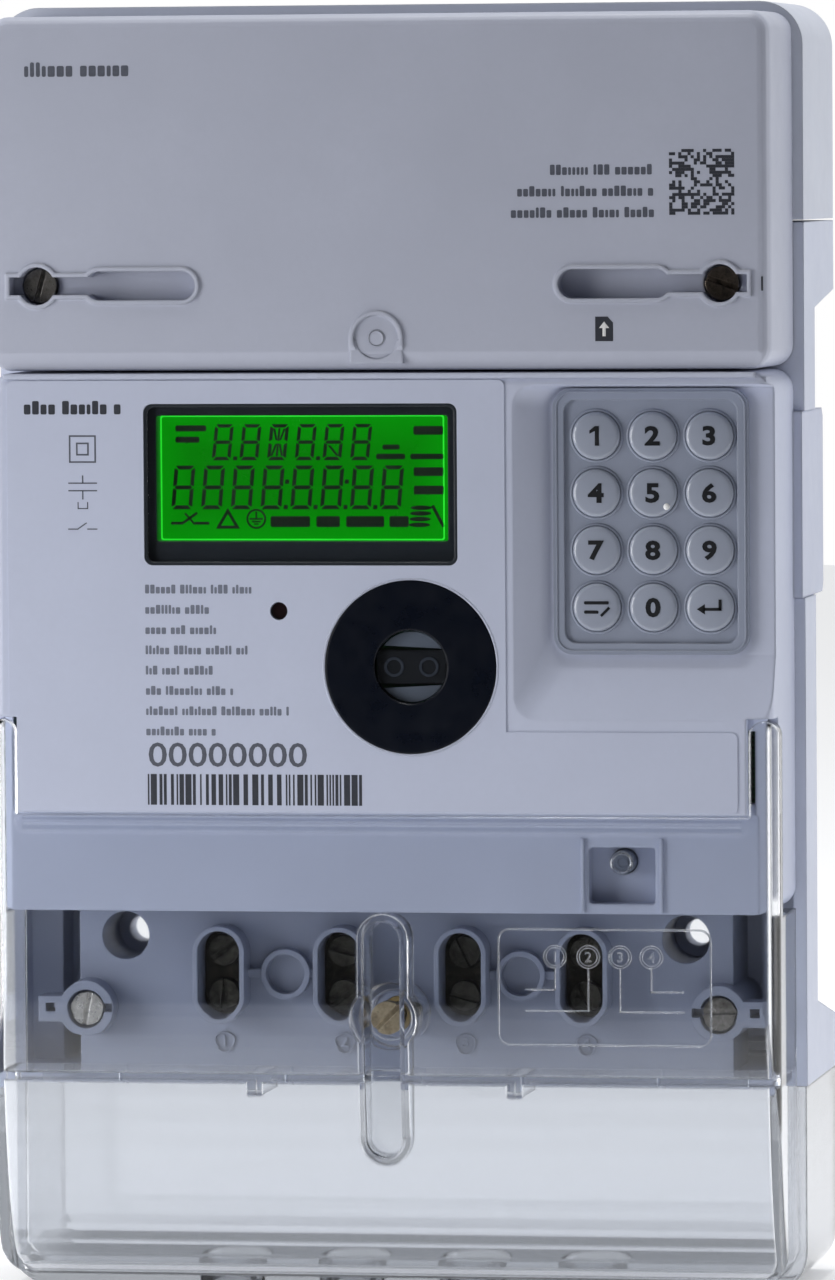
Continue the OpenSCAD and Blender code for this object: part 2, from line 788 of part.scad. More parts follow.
module hanger_plate() {
    hook_r = 4;
    neck_r = 2.3;
    color("#b8bcc0") difference() {
        plate(-hanger_w / 2, hanger_w / 2, hanger_top_z - hanger_h, hanger_top_z,
            hanger_y + eps, hanger_y + hanger_t, 0);
        rod(0, hook_z, -wall - 1, 1, hook_r);
        rod(0, hook_z + hook_r + 1, -wall - 1, 1, neck_r);
        plate(-neck_r, neck_r, hook_z, hook_z + hook_r + 1, -wall - 1, 1, 0);
        both_sides() rod(hanger_screw_x, hanger_screw_z, -wall - 1, 1, hanger_screw_r + 0.2);
    }
}

module hanger_screws() {
    head_r = 2.4;
    head_h = 0.8;
    color("#b8bcc0") both_sides() {
        rod(hanger_screw_x, hanger_screw_z, hanger_y + hanger_t, hanger_y + hanger_t + head_h,
            head_r);
        rod(hanger_screw_x, hanger_screw_z, hanger_y - 3.4, hanger_y + hanger_t + eps,
            hanger_screw_r - 0.05);
    }
}

module case_screw(side, turn) {
    color("#d8d8d2") slotted_screw(side * case_screw_x, case_screw_z, boss_y + 1, side_y + 2,
        screw_head_r, screw_head_h, screw_shank_r, turn);
}

module module_nuts() {
    color("#c9a24a") both_sides() tube(module_screw_x, module_screw_z, rim_y, rim_y + 6,
        insert_r, screw_shank_r + fit);
}

module module_socket() {
    color("#26282c") difference() {
        plate(snug - plug_w / 2 - socket_wall, plug_w / 2 + socket_wall - snug,
            module_screw_z - plug_h / 2 - socket_wall + snug,
            module_screw_z + plug_h / 2 + socket_wall - snug, rim_y, rim_y + 7, 0);
        plate(-plug_w / 2 - clear, plug_w / 2 + clear, module_screw_z - plug_h / 2 - clear,
            module_screw_z + plug_h / 2 + clear, rim_y - 1, rim_y + 5, 0);
    }
}

// ---- Display ----

module display_window() {
    rim = lens_rim + snug;
    color("#20242a", 0.35) plate(window_x + rim, window_x + window_w - rim, window_z + rim,
        window_z + window_h - rim, front_y + 0.1, front_y + 0.1 + lens_t, window_r - rim / 2);
}

module display_bezel() {
    color("#121316") difference() {
        plate(window_x + snug / 2, window_x + window_w - snug / 2, window_z + snug / 2,
            window_z + window_h - snug / 2, front_y, glass_y, window_r);
        plate(window_x + lens_rim, window_x + window_w - lens_rim, window_z + lens_rim,
            window_z + window_h - lens_rim, front_y - 1, front_y + 0.1 + lens_t,
            window_r - lens_rim / 2);
        plate(glass_x, glass_x + glass_w, glass_z, glass_z + glass_h, front_y, glass_y + 1, 0.5);
    }
}

module display_glass() {
    color("#19c21c") plate(glass_x - 1.2, glass_x + glass_w - 0.6, glass_z - 0.4,
        glass_z + glass_h + 0.4, glass_y, glass_y + glass_t, 0);
}

module display_backlight() {
    color("#e9efe6") plate(glass_x - 1.2, glass_x + glass_w - 0.6, glass_z - 1, glass_z + glass_h + 1,
        glass_y + glass_t, glass_y + glass_t + backlight_t, 0);
}

// ---- Keypad ----

function key_cx(i) = key_x - (key_cols - 1 - i % key_cols) * key_pitch;
function key_cz(i) = key_z - floor(i / key_cols) * key_pitch;

module keypad_frame() {
    color("#a3a9bf") difference() {
        union() {
            plate(pad_x0, pad_x1, pad_z0, pad_z1, recess_y - 1.2, recess_y, pad_r);
            plate(pad_x0 + pad_rim + snug, pad_x1 - pad_rim - snug, pad_z0 + pad_rim + snug,
                pad_z1 - pad_rim - snug, recess_y - eps, pad_back_y, 1);
        }
        plate(pad_x0 + pad_rim, pad_x1 - pad_rim, pad_z0 + pad_rim, pad_z1 - pad_rim,
            recess_y - 2, recess_y - 0.6, pad_r - 1.4);
        for (i = [0 : key_cols * key_rows - 1])
            rod(key_cx(i), key_cz(i), recess_y - 2, pad_back_y + 1, key_r + key_gap);
    }
}

// Round key with a domed top and a flange that holds it behind the frame
module keycap(i) {
    top = recess_y - 0.6 - key_dome_h;
    bend = 0.8;
    flange_y = pad_back_y + clear;
    back = flange_y + key_flange_t;
    rise = 0.25;
    profile = concat([[0, back - top]], [[key_flange_r, back - top]],
        [[key_flange_r, flange_y - top]], [[key_r, flange_y - top]],
        [for (a = [0 : 15 : 90]) [key_r - bend + bend * cos(a), rise + bend - bend * sin(a)]],
        [for (s = [0.75 : -0.25 : 0]) [(key_r - bend) * s, rise * s * s]]);
    color("#aab0c4") translate([key_cx(i), top, key_cz(i)]) rotate([-90, 0, 0])
        rotate_extrude($fn = 64) polygon(profile);
}

module keypad_mat() {
    dome_r = 3;
    color("#8c92a8") union() {
        plate(pad_x0 + pad_rim, pad_x1 - pad_rim, pad_z0 + pad_rim, pad_z1 - pad_rim,
            mat_y, mat_y + mat_t, 1);
        for (i = [0 : key_cols * key_rows - 1])
            rod(key_cx(i), key_cz(i), mat_y - 0.8, mat_y + eps, dome_r);
    }
}

module keypad_board() {
    color("#1f6b3a") plate(pad_x0 - 1, rim_w - wall - 2.5, pad_z0 - 2, cover_z - wall - 0.5,
        mat_y + mat_t, mat_y + mat_t + board_t, 0.5);
}

// ---- Optical port ----

module port_ring() {
    color("#101114") difference() {
        rod(port_x, port_z, front_y - label_t, front_y + port_t, port_r);
        rod(port_x, port_z, front_y - 1, front_y + port_t + 1, port_window_r + snug);
    }
}

module port_window() {
    color("#8a93a6", 0.6) rod(port_x, port_z, front_y + 0.6, front_y + port_t, port_window_r);
}

module diode_holder() {
    color("#1a1b1f") difference() {
        plate(port_x - port_window_r + 0.4, port_x + port_window_r - 0.4, port_z - 3.2,
            port_z + 3.2, front_y + port_t, board_y, 0.6);
        for (s = [-1, 1]) rod(port_x + s * diode_pitch / 2, port_z, front_y + port_t - 1,
            board_y + 1, diode_r + 0.05);
    }
}

module infrared_diodes() {
    color("#2a2233") for (s = [-1, 1]) rod(port_x + s * diode_pitch / 2, port_z,
        front_y + port_t + 0.4, board_y, diode_r);
}

module pulse_lamp() {
    color("#3a1012") union() {
        rod(lamp_x, lamp_z, front_y + 0.6, board_y, lamp_r - 0.1);
        rod(lamp_x, lamp_z, front_y + wall + 0.3, front_y + wall + 1.5, lamp_r + 0.8);
    }
}

// ---- Electronics ----

module main_board() {
    side_gap = 6;
    low_gap = 5;
    top_gap = 4;
    hole_in = 6;
    hole_r = 1.6;
    w = rim_w - side_gap;
    z0 = strip_z + low_gap;
    z1 = cover_z - top_gap;
    color("#1f6b3a") difference() {
        plate(-w, w, z0, z1, board_y, board_front_y, 1);
        for (x = [hole_in - w, w - hole_in], z = [z0 + hole_in, z1 - hole_in])
            rod(x, z, board_y - 1, board_front_y + 1, hole_r);
    }
}

module transformer() {
    core_w = 24;
    core_t = 14;
    coil_w = 16;
    coil_l = 32;
    coil_t = 11;
    x = 42;
    z = cover_z - 28;
    color("#d8b13a") union() {
        plate(x - core_w / 2, x + core_w / 2, z - core_w / 2, z + core_w / 2, board_front_y,
            board_front_y + core_t, 1);
        plate(x - coil_w / 2, x + coil_w / 2, z - coil_l / 2, z + coil_l / 2, board_front_y,
            board_front_y + coil_t, 1);
    }
}

module supercapacitor() {
    cell_r = 6;
    cell_l = 30;
    color("#2b4a8c") translate([-54, board_front_y + cell_r, lip_z + 20])
        cylinder(h = cell_l, r = cell_r);
}

module backup_battery() {
    cell_r = 7.2;
    cell_l = 25;
    color("#d6d2c4") translate([-34, board_front_y + cell_r, lip_z + 30])
        cylinder(h = cell_l, r = cell_r);
}

module latching_relay() {
    color("#2d6f8f") plate(relay_x0, relay_x1, relay_z, relay_z + relay_h, board_front_y,
        board_front_y + relay_d, 0.8);
}

module current_shunt() {
    half_strip = bar_w / 2;
    thin = 1;
    thick = 2;
    x = terminal_x(3);
    z0 = relay_z + 6;
    z1 = relay_z + 14;
    z2 = relay_z + 24;
    color("#b87333") union() {
        plate(x - half_strip, x + half_strip, clamp_top_z + bar_gap, z0, -conductor_y - thin,
            -conductor_y + thin, 0);
        plate(x - half_strip, x + half_strip, z0 - eps, z1, -conductor_y - thick,
            -conductor_y + thick, 0);
        plate(x - half_strip, x + half_strip, z1 - eps, z2, -conductor_y - thin,
            -conductor_y + thin, 0);
    }
}

module relay_busbars() {
    bar_t = 1.6;
    bar_end = relay_z + relay_h - 8;
    color("#b87333") for (i = [0, 1]) {
        x = terminal_x(i);
        plate(x - bar_w / 2 + 1, x + bar_w / 2 - 1, clamp_top_z + bar_gap, bar_end, bar_y,
            bar_y + bar_t, 0);
    }
}

// ---- Terminals ----

// Stadium outline of a screw well, grown by some margin
module well(i, grow) {
    w = well_w / 2 + grow;
    outline(terminal_x(i) - w, terminal_x(i) + w, well_z - well_l / 2 - grow,
        well_z + well_l / 2 + grow, w - eps);
}

module terminal_block() {
    top = strip_z - 0.3;
    arm_h = 4.8;
    arm_end = half_w - 7;
    ring_x = terminal_pitch - 0.6;
    ring_r = 4.7;
    ring_bore = 3.7;
    rib_l = 8;
    half_rib = 0.9;
    slit_l = 5;
    eye_x = arm_end - 3.2;
    eye_w = 1.8;
    lead_w = bar_w + 0.4;
    lead_y = -conductor_y - 1.2;
    clamp_gap = 0.15;
    color("#8f96ae") difference() {
        union() {
            plate(-block_w, block_w, block_z, top, face_y, inner_y, 1);
            for (i = [0 : 3]) deep(well_rim_y, face_y + 1) well(i, well_wall);
            for (s = [-1, 1]) {
                rod(s * ring_x, well_z, post_y, face_y + 1, ring_r);
                plate(s * ring_x - rib_l, s * ring_x + rib_l, well_z - half_rib,
                    well_z + half_rib, post_y + 0.6, face_y + 1, 0);
            }
            rod(0, cover_screw_z, cover_boss_y + 0.6, face_y + 1, post_r);
            both_sides() {
                rod(case_screw_x, case_screw_z, boss_y, inner_y, case_boss_r);
                plate(case_screw_x, arm_end, case_screw_z - arm_h / 2, case_screw_z + arm_h / 2,
                    boss_y, face_y + 2, 0);
            }
        }
        for (i = [0 : 3]) {
            x = terminal_x(i);
            deep(well_rim_y - 1, clamp_front_y + eps) well(i, 0);
            plate(x - clamp_w / 2 - clamp_gap, x + clamp_w / 2 + clamp_gap,
                clamp_floor_z - snug, clamp_top_z + clamp_gap, clamp_front_y,
                clamp_back_y + clamp_gap, 0);
            translate([x, -conductor_y, block_z - 1])
                cylinder(h = well_up, r = conductor_r + 0.3);
            plate(x - lead_w / 2, x + lead_w / 2, clamp_top_z - 1, top + 1, lead_y, inner_y + 1, 0);
        }
        for (s = [-1, 1]) rod(s * ring_x, well_z, post_y - 1, face_y, ring_bore);
        rod(0, cover_screw_z, front_y, face_y + 5, insert_r + 0.05);
        both_sides() {
            rod(case_screw_x, case_screw_z, boss_y - 1, boss_y + 1 + screw_head_h,
                screw_head_r + 0.5);
            plate(case_screw_x - slit_l, case_screw_x, case_screw_z - half_rib,
                case_screw_z + half_rib, boss_y - 1, boss_y + 1 + screw_head_h, 0);
            plate(eye_x, eye_x + eye_w, case_screw_z - half_rib, case_screw_z + half_rib,
                boss_y - 1, face_y + 3, 0);
            rod(case_screw_x, case_screw_z, boss_y, 0, screw_shank_r + fit);
            rod(case_screw_x, case_screw_z, face_y + 6 - snug, 0, case_post_r + snug);
            rod(wall_screw_x, wall_screw_z, boss_y, 0, wall_head_r);
            rod(wall_screw_x, wall_screw_z, gap_y - wall_plate_t - snug, 0, wall_boss_r + snug);
        }
    }
}

module terminal_clamps() {
    color("#c9a24a") for (i = [0 : 3]) {
        x = terminal_x(i);
        difference() {
            plate(x - clamp_w / 2, x + clamp_w / 2, clamp_floor_z, clamp_top_z, clamp_front_y,
                clamp_back_y, 0);
            translate([x, -conductor_y, block_z])
                cylinder(h = clamp_bore_z - block_z, r = conductor_r);
            for (s = [-1, 1]) rod(x, well_z + s * clamp_screw_gap / 2, clamp_front_y - 1,
                -conductor_y, clamp_screw_r + fit);
        }
    }
}

module clamp_screws() {
    tip_y = -conductor_y - conductor_r - 0.15;
    slot_wide = 0.9;
    slot_deep = 1;
    color("#55524c") for (i = [0 : 3], s = [-1, 1]) {
        x = terminal_x(i);
        z = well_z + s * clamp_screw_gap / 2;
        difference() {
            rod(x, z, tip_y - clamp_screw_l, tip_y, clamp_screw_r);
            translate([x, tip_y - clamp_screw_l, z]) rotate([0, 30 + 50 * i + 25 * s, 0])
                cube([slot_wide, 2 * slot_deep, 3 * clamp_screw_r], center = true);
        }
    }
}

// ---- Cover switch ----

module cover_switch() {
    color("#26282c") difference() {
        plate(switch_x - 4, switch_x + 4, switch_z - 4, switch_z + 4,
            switch_floor_y + wall + 2.6, board_y, 0.4);
        rod(switch_x, switch_z, switch_floor_y, switch_floor_y + wall + 7, 1.4);
    }
}

module switch_plunger() {
    back = switch_floor_y + wall;
    color("#4c4f58") union() {
        rod(switch_x, switch_z, strip_y + 1, back - eps, switch_r);
        rod(switch_x, switch_z, back + clear, back + 1.1, switch_r + 0.8);
        rod(switch_x, switch_z, back - 1, back + 4.4, 1.1);
    }
}

// ---- Terminal cover ----

// Solid shape of the clear cover, reduced on every side by some inset
module cover_shape(inset) {
    bow_h = bow_z - clear_z;
    w = clear_w - inset;
    y = front_y + inset;
    z = clear_z + inset;
    top = ear_z + 2 * ear_w + inset;
    back = clear_y + inset + 1;
    intersection() {
        plate(-w, w, z, top, y - 1, clear_y + inset, clear_corner - inset);
        translate([0, 0, z - 1]) linear_extrude(top - z + 2)
            outline(-w, w, y, 2 * clear_edge, clear_edge - inset);
        rotate([90, 0, 90]) linear_extrude(case_w, center = true)
            polygon(concat([for (a = [0 : 6 : 90])
                [y + bow_d * (1 - cos(a)), bow_z + inset - bow_h * sin(a)]],
                [[back, z], [back, top + 1], [y, top + 1]]));
    }
}

// Walls and posts inside the clear cover
module cover_posts() {
    half_channel = channel_w / 2;
    rib_y = well_rim_y - 1.2;
    nib_w = 2.8;
    plate(-half_channel - channel_wall, half_channel + channel_wall,
        channel_bottom_z - channel_wall, channel_top_z + channel_wall, front_y,
        channel_floor_y + channel_wall, half_channel + channel_wall - eps);
    rod(0, cover_screw_z, front_y, cover_boss_y, cover_boss_r);
    plate(-rim_w, rim_w, block_z + 2, block_z + 3.4, front_y, rib_y, 0);
    for (x = [-1, 1]) plate(x * 24.4 - nib_w / 2, x * 24.4 + nib_w / 2, block_z - 0.5,
        block_z + 2.5, front_y, rib_y, 0);
    // Pip that presses the cover switch
    rod(switch_x, switch_z, front_y + 1, strip_y + 1 - clear, switch_r - 0.4);
}

module terminal_cover() {
    half_channel = channel_w / 2;
    side_x = clear_w - ear_w;
    high = ear_z + 4 * ear_w;
    color("#dfe8ee", 0.3) difference() {
        union() {
            difference() {
                cover_shape(0);
                difference() {
                    cover_shape(clear_t);
                    cover_posts();
                }
                // Open back above the terminal area, and the space between the ears
                plate(-case_w, case_w, clear_side_z, high, front_y + ear_d, 0, 0);
                plate(-side_x, side_x, clear_top_z, high, front_y - 1, 0, 0);
                // Rounded tips of the ears
                both_sides() difference() {
                    plate(side_x - 1, case_w, ear_z - ear_w / 2, high, front_y - 1, 0, 0);
                    plate(side_x, clear_w, ear_z - 2 * ear_w, ear_z, front_y - 2, 1,
                        ear_w / 2 - eps);
                }
            }
            plate(-side_x, side_x, clear_top_z - lip_h, clear_top_z, front_y - label_t,
                front_y + 1, lip_h / 2 - eps);
        }
        // Front opening of the channel
        plate(-half_channel, half_channel, channel_bottom_z, channel_top_z, front_y - 1,
            channel_floor_y, half_channel - eps);
        rod(0, cover_screw_z, front_y, cover_boss_y + 1, cover_shank_r + fit);
        rod(0, cover_screw_z, channel_floor_y + 3, cover_boss_y + 1, post_r + cover_gap);
    }
}

module cover_screw() {
    color("#7a6a4a") slotted_screw(0, cover_screw_z, cover_head_y, face_y + 3, screw_head_r,
        screw_head_h, cover_shank_r, 45);
}

module cover_nut() {
    color("#c9a24a") tube(0, cover_screw_z, cover_boss_y + 0.8, face_y + 5, insert_r,
        cover_shank_r + fit);
}

module_cover();
module_back();
module_board();
cellular_modem();
module_antenna();
sim_holder();
sim_card();
module_plug();
module_screw(-1, 15);  // module_screw_left
module_screw(1, -70);  // module_screw_right
base_case();
cable_tray();
front_cover();
front_label();
hanger_plate();
hanger_screws();
case_screw(-1, 10);  // case_screw_left
case_screw(1, 88);  // case_screw_right
module_nuts();
module_socket();
display_window();
display_bezel();
display_glass();
display_backlight();
keypad_frame();
keypad_mat();
keypad_board();
keycap(0);  // key_1
keycap(1);  // key_2
keycap(2);  // key_3
keycap(3);  // key_4
keycap(4);  // key_5
keycap(5);  // key_6
keycap(6);  // key_7
keycap(7);  // key_8
keycap(8);  // key_9
keycap(9);  // key_start
keycap(10);  // key_0
keycap(11);  // key_submit
port_ring();
port_window();
diode_holder();
infrared_diodes();
pulse_lamp();
main_board();
transformer();
supercapacitor();
backup_battery();
current_shunt();
latching_relay();
relay_busbars();
terminal_block();
terminal_clamps();
clamp_screws();
cover_switch();
switch_plunger();
terminal_cover();
cover_screw();
cover_nut();
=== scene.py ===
import math
import random

import bmesh
import bpy
from mathutils import Matrix, Quaternion, Vector


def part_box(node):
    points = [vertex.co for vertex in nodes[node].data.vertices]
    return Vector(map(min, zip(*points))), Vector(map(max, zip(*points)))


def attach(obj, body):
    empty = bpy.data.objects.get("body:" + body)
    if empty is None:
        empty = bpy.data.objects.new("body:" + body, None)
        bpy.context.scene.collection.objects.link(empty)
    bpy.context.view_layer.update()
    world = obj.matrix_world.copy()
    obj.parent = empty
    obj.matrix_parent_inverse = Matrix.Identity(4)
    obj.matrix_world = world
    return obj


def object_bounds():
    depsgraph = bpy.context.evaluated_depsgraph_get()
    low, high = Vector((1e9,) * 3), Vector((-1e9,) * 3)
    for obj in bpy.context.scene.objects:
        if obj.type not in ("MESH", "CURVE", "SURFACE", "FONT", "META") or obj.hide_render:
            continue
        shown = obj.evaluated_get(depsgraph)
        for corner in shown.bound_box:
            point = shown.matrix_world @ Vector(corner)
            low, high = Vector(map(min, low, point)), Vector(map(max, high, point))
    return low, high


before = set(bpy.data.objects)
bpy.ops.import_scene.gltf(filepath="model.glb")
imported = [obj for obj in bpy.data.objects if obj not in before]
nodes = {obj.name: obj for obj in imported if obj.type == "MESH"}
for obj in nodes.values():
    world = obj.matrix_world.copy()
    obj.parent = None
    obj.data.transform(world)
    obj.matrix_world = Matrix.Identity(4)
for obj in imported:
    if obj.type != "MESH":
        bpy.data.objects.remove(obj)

MM = 0.001
cad_box = [list(v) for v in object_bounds()]


# ---------------------------------------------------------------- node helpers

def linear(r, g, b):
    """sRGB bytes to a linear colour."""
    return tuple((c / 255) ** 2.2 for c in (r, g, b)) + (1.0,)


class Shader:
    """A material's node tree, with short calls to add nodes and links."""

    def __init__(self, name):
        self.mat = bpy.data.materials.new(name)
        self.mat.use_nodes = True
        self.tree = self.mat.node_tree
        self.tree.nodes.clear()
        self.out = self.add("ShaderNodeOutputMaterial")
        self.bsdf = self.add("ShaderNodeBsdfPrincipled")
        self.link(self.bsdf.outputs["BSDF"], self.out.inputs["Surface"])
        self.coords = self.add("ShaderNodeTexCoord").outputs["Object"]

    def add(self, kind, **values):
        node = self.tree.nodes.new(kind)
        for key, value in values.items():
            setattr(node, key, value)
        return node

    def link(self, a, b):
        self.tree.links.new(a, b)

    def set(self, **values):
        """Values on the shader's own sockets, with underscores for spaces."""
        for key, value in values.items():
            self.bsdf.inputs[key.replace("_", " ")].default_value = value

    def stretch(self, x, y, z, centre=(0, 0, 0)):
        """Object coordinates scaled about a centre."""
        node = self.add("ShaderNodeMapping")
        node.inputs["Scale"].default_value = (x, y, z)
        node.inputs["Location"].default_value = tuple(-c * s for c, s in zip(centre, (x, y, z)))
        self.link(self.coords, node.inputs["Vector"])
        return node.outputs["Vector"]

    def noise(self, size, detail=3.0, rough=0.55, vector=None, seed=0.0):
        """Noise with features of about that size, in metres."""
        node = self.add("ShaderNodeTexNoise", noise_dimensions="4D")
        node.inputs["Scale"].default_value = 1 / size
        node.inputs["Detail"].default_value = detail
        node.inputs["Roughness"].default_value = rough
        node.inputs["W"].default_value = seed
        self.link(vector or self.coords, node.inputs["Vector"])
        return node.outputs["Fac"]

    def span(self, value, low, high, at0=0.3, at1=0.7):
        """Runs from low to high while the value goes from at0 to at1."""
        node = self.add("ShaderNodeMapRange")
        for key, number in (("From Min", at0), ("From Max", at1), ("To Min", low), ("To Max", high)):
            node.inputs[key].default_value = number
        self.link(value, node.inputs["Value"])
        return node.outputs["Result"]

    def mix(self, factor, a, b):
        node = self.add("ShaderNodeMix", data_type="RGBA")
        self.link(factor, node.inputs["Factor"])
        rgba = [s for s in node.inputs if s.type == "RGBA"]
        for socket, value in zip(rgba, (a, b)):
            if hasattr(value, "is_linked"):
                self.link(value, socket)
            else:
                socket.default_value = value
        return [s for s in node.outputs if s.type == "RGBA"][0]

    def math(self, kind, a, b=None):
        node = self.add("ShaderNodeMath", operation=kind)
        for socket, value in zip(node.inputs, (a, b)):
            if value is None:
                continue
            if hasattr(value, "is_linked"):
                self.link(value, socket)
            else:
                socket.default_value = value
        return node.outputs["Value"]

    def bump(self, height, distance, strength=1.0, normal=None):
        node = self.add("ShaderNodeBump")
        node.inputs["Strength"].default_value = strength
        node.inputs["Distance"].default_value = distance
        self.link(height, node.inputs["Height"])
        if normal:
            self.link(normal, node.inputs["Normal"])
        return node.outputs["Normal"]

    def rounded(self, radius):
        """Normal that softens edges by that radius, in metres."""
        node = self.add("ShaderNodeBevel", samples=4)
        node.inputs["Radius"].default_value = radius
        return node.outputs["Normal"]


def shade(colour, factor):
    """The colour made lighter or darker."""
    return tuple(min(1.0, c * factor) for c in colour[:3]) + (1.0,)


# ------------------------------------------------------------------- materials

def moulded(name, colour, rough=0.42, grain=0.0003, depth=0.000012, edge=0.0005, vary=0.05,
            level=0.5):
    """Moulded plastic: spark-eroded grain, faint flow variation and softened edges."""
    s = Shader(name)
    flow = s.noise(0.03, 4, seed=1.0)
    fine = s.noise(0.0012, 2, seed=2.0)
    tone = s.mix(s.span(flow, 0, 1), shade(colour, 1 - vary), shade(colour, 1 + vary * 0.6))
    tone = s.mix(s.span(fine, 0, 0.35), tone, shade(colour, 1 - vary))
    s.link(tone, s.bsdf.inputs["Base Color"])
    s.link(s.span(s.noise(0.006, 5, seed=3.0), rough - 0.05, rough + 0.07), s.bsdf.inputs["Roughness"])
    s.set(Specular_IOR_Level=level)
    normal = s.rounded(edge) if edge else None
    s.link(s.bump(s.noise(grain, 3, 0.6, seed=4.0), depth, 1.0, normal), s.bsdf.inputs["Normal"])
    return s.mat


def metal(name, colour, dark, rough=0.3, centre=None, scratch=0.6, edge=0.00025):
    """Turned or drawn metal: rings or strokes in the normal, and tarnish in the colour."""
    s = Shader(name)
    s.set(Metallic=1.0)
    stain = s.noise(0.0014, 5, 0.65, seed=5.0)
    s.link(s.mix(s.span(stain, 0, 1, 0.35, 0.7), colour, dark), s.bsdf.inputs["Base Color"])
    if centre:
        place = s.stretch(1, 0, 1, (centre[0], 0, centre[1]))
        length = s.add("ShaderNodeVectorMath", operation="LENGTH")
        s.link(place, length.inputs[0])
        rings = s.add("ShaderNodeTexNoise", noise_dimensions="1D")
        rings.inputs["Scale"].default_value = 9000
        rings.inputs["Detail"].default_value = 2
        s.link(length.outputs["Value"], rings.inputs["W"])
        height = rings.outputs["Fac"]
    else:
        height = s.noise(0.0003, 3, 0.6, s.stretch(1, 6, 1), 6.0)
    s.link(s.span(stain, rough, rough + 0.22, 0.3, 0.75), s.bsdf.inputs["Roughness"])
    s.link(s.bump(height, 0.000012, scratch, s.rounded(edge)), s.bsdf.inputs["Normal"])
    return s.mat


def clear(name, colour, ior=1.58, rough=0.03, wave=0.000004, edge=0.0008):
    """Clear plastic that lets the lamps through to what lies behind it."""
    s = Shader(name)
    s.set(Base_Color=colour, IOR=ior, Transmission_Weight=1.0)
    s.link(s.span(s.noise(0.01, 4, seed=7.0), rough, rough + 0.03), s.bsdf.inputs["Roughness"])
    normal = s.rounded(edge) if edge else None
    if wave:
        s.link(s.bump(s.noise(0.012, 2, seed=8.0), wave, 1.0, normal), s.bsdf.inputs["Normal"])
    path = s.add("ShaderNodeLightPath")
    see = s.add("ShaderNodeBsdfTransparent")
    see.inputs["Color"].default_value = colour
    blend = s.add("ShaderNodeMixShader")
    s.link(s.math("MAXIMUM", path.outputs["Is Shadow Ray"], path.outputs["Is Diffuse Ray"]),
           blend.inputs["Fac"])
    s.link(s.bsdf.outputs["BSDF"], blend.inputs[1])
    s.link(see.outputs["BSDF"], blend.inputs[2])
    s.link(blend.outputs["Shader"], s.out.inputs["Surface"])
    return s.mat


def satin(name, colour, rough=0.5, coat=0.0, edge=0.0005, grain=0.0002, depth=0.00001, vary=0.08,
          coat_rough=0.08, level=0.5):
    """Dark or rubbery piece with a fine surface and an optional gloss coat."""
    s = Shader(name)
    flow = s.noise(0.008, 4, seed=9.0)
    s.link(s.mix(s.span(flow, 0, 1), shade(colour, 1 - vary), shade(colour, 1 + vary)),
           s.bsdf.inputs["Base Color"])
    s.link(s.span(s.noise(0.004, 4, seed=10.0), rough - 0.06, rough + 0.08),
           s.bsdf.inputs["Roughness"])
    s.set(Coat_Weight=coat, Coat_Roughness=coat_rough, Specular_IOR_Level=level)
    s.link(s.bump(s.noise(grain, 3, seed=11.0), depth, 1.0, s.rounded(edge)),
           s.bsdf.inputs["Normal"])
    return s.mat


def board(name):
    """Circuit board: solder mask over tracks, with tinned vias."""
    s = Shader(name)
    tracks = s.add("ShaderNodeTexBrick")
    tracks.inputs["Scale"].default_value = 260
    tracks.inputs["Mortar Size"].default_value = 0.05
    tracks.inputs["Color1"].default_value = (0, 0, 0, 1)
    tracks.inputs["Color2"].default_value = (0.35, 0.35, 0.35, 1)
    tracks.inputs["Mortar"].default_value = (1, 1, 1, 1)
    turn = s.add("ShaderNodeMapping")
    turn.inputs["Rotation"].default_value = (math.radians(90), 0, 0)
    s.link(s.coords, turn.inputs["Vector"])
    s.link(turn.outputs["Vector"], tracks.inputs["Vector"])
    vias = s.add("ShaderNodeTexVoronoi", distance="EUCLIDEAN")
    vias.inputs["Scale"].default_value = 190
    s.link(s.coords, vias.inputs["Vector"])
    base = s.mix(tracks.outputs["Fac"], linear(22, 92, 52), linear(40, 128, 74))
    dots = s.span(vias.outputs["Distance"], 1, 0, 0.1, 0.13)
    s.link(s.mix(dots, base, linear(186, 188, 180)), s.bsdf.inputs["Base Color"])
    s.link(dots, s.bsdf.inputs["Metallic"])
    s.link(s.span(s.noise(0.004, 3), 0.3, 0.42), s.bsdf.inputs["Roughness"])
    s.link(s.bump(tracks.outputs["Fac"], 0.00003, 0.8), s.bsdf.inputs["Normal"])
    s.set(Coat_Weight=0.3, Coat_Roughness=0.15)
    return s.mat


def backlit(name, box):
    """Glass of the display: a green glow that is strongest along the edges of the area."""
    s = Shader(name)
    low, high = box
    part = s.add("ShaderNodeSeparateXYZ")
    s.link(s.coords, part.inputs["Vector"])
    reach = None
    for axis, a, b in (("X", low.x, high.x), ("Z", low.z, high.z)):
        near = s.math("MINIMUM", s.math("SUBTRACT", part.outputs[axis], a),
                      s.math("SUBTRACT", b, part.outputs[axis]))
        reach = near if reach is None else s.math("MINIMUM", reach, near)
    glow = s.span(reach, 1, 0, 0.0012, 0.007)
    soft = s.noise(0.012, 2, seed=12.0)
    tone = s.mix(glow, (0.0, 0.205, 0.0, 1), (0.0, 0.30, 0.001, 1))
    tone = s.mix(s.span(soft, 0, 0.25), tone, (0.0, 0.18, 0.0, 1))
    s.link(tone, s.bsdf.inputs["Emission Color"])
    s.set(Emission_Strength=1.0, Base_Color=(0.0, 0.01, 0.0, 1), Specular_IOR_Level=0.15)
    s.link(s.span(s.noise(0.002, 2), 0.2, 0.28), s.bsdf.inputs["Roughness"])
    return s.mat


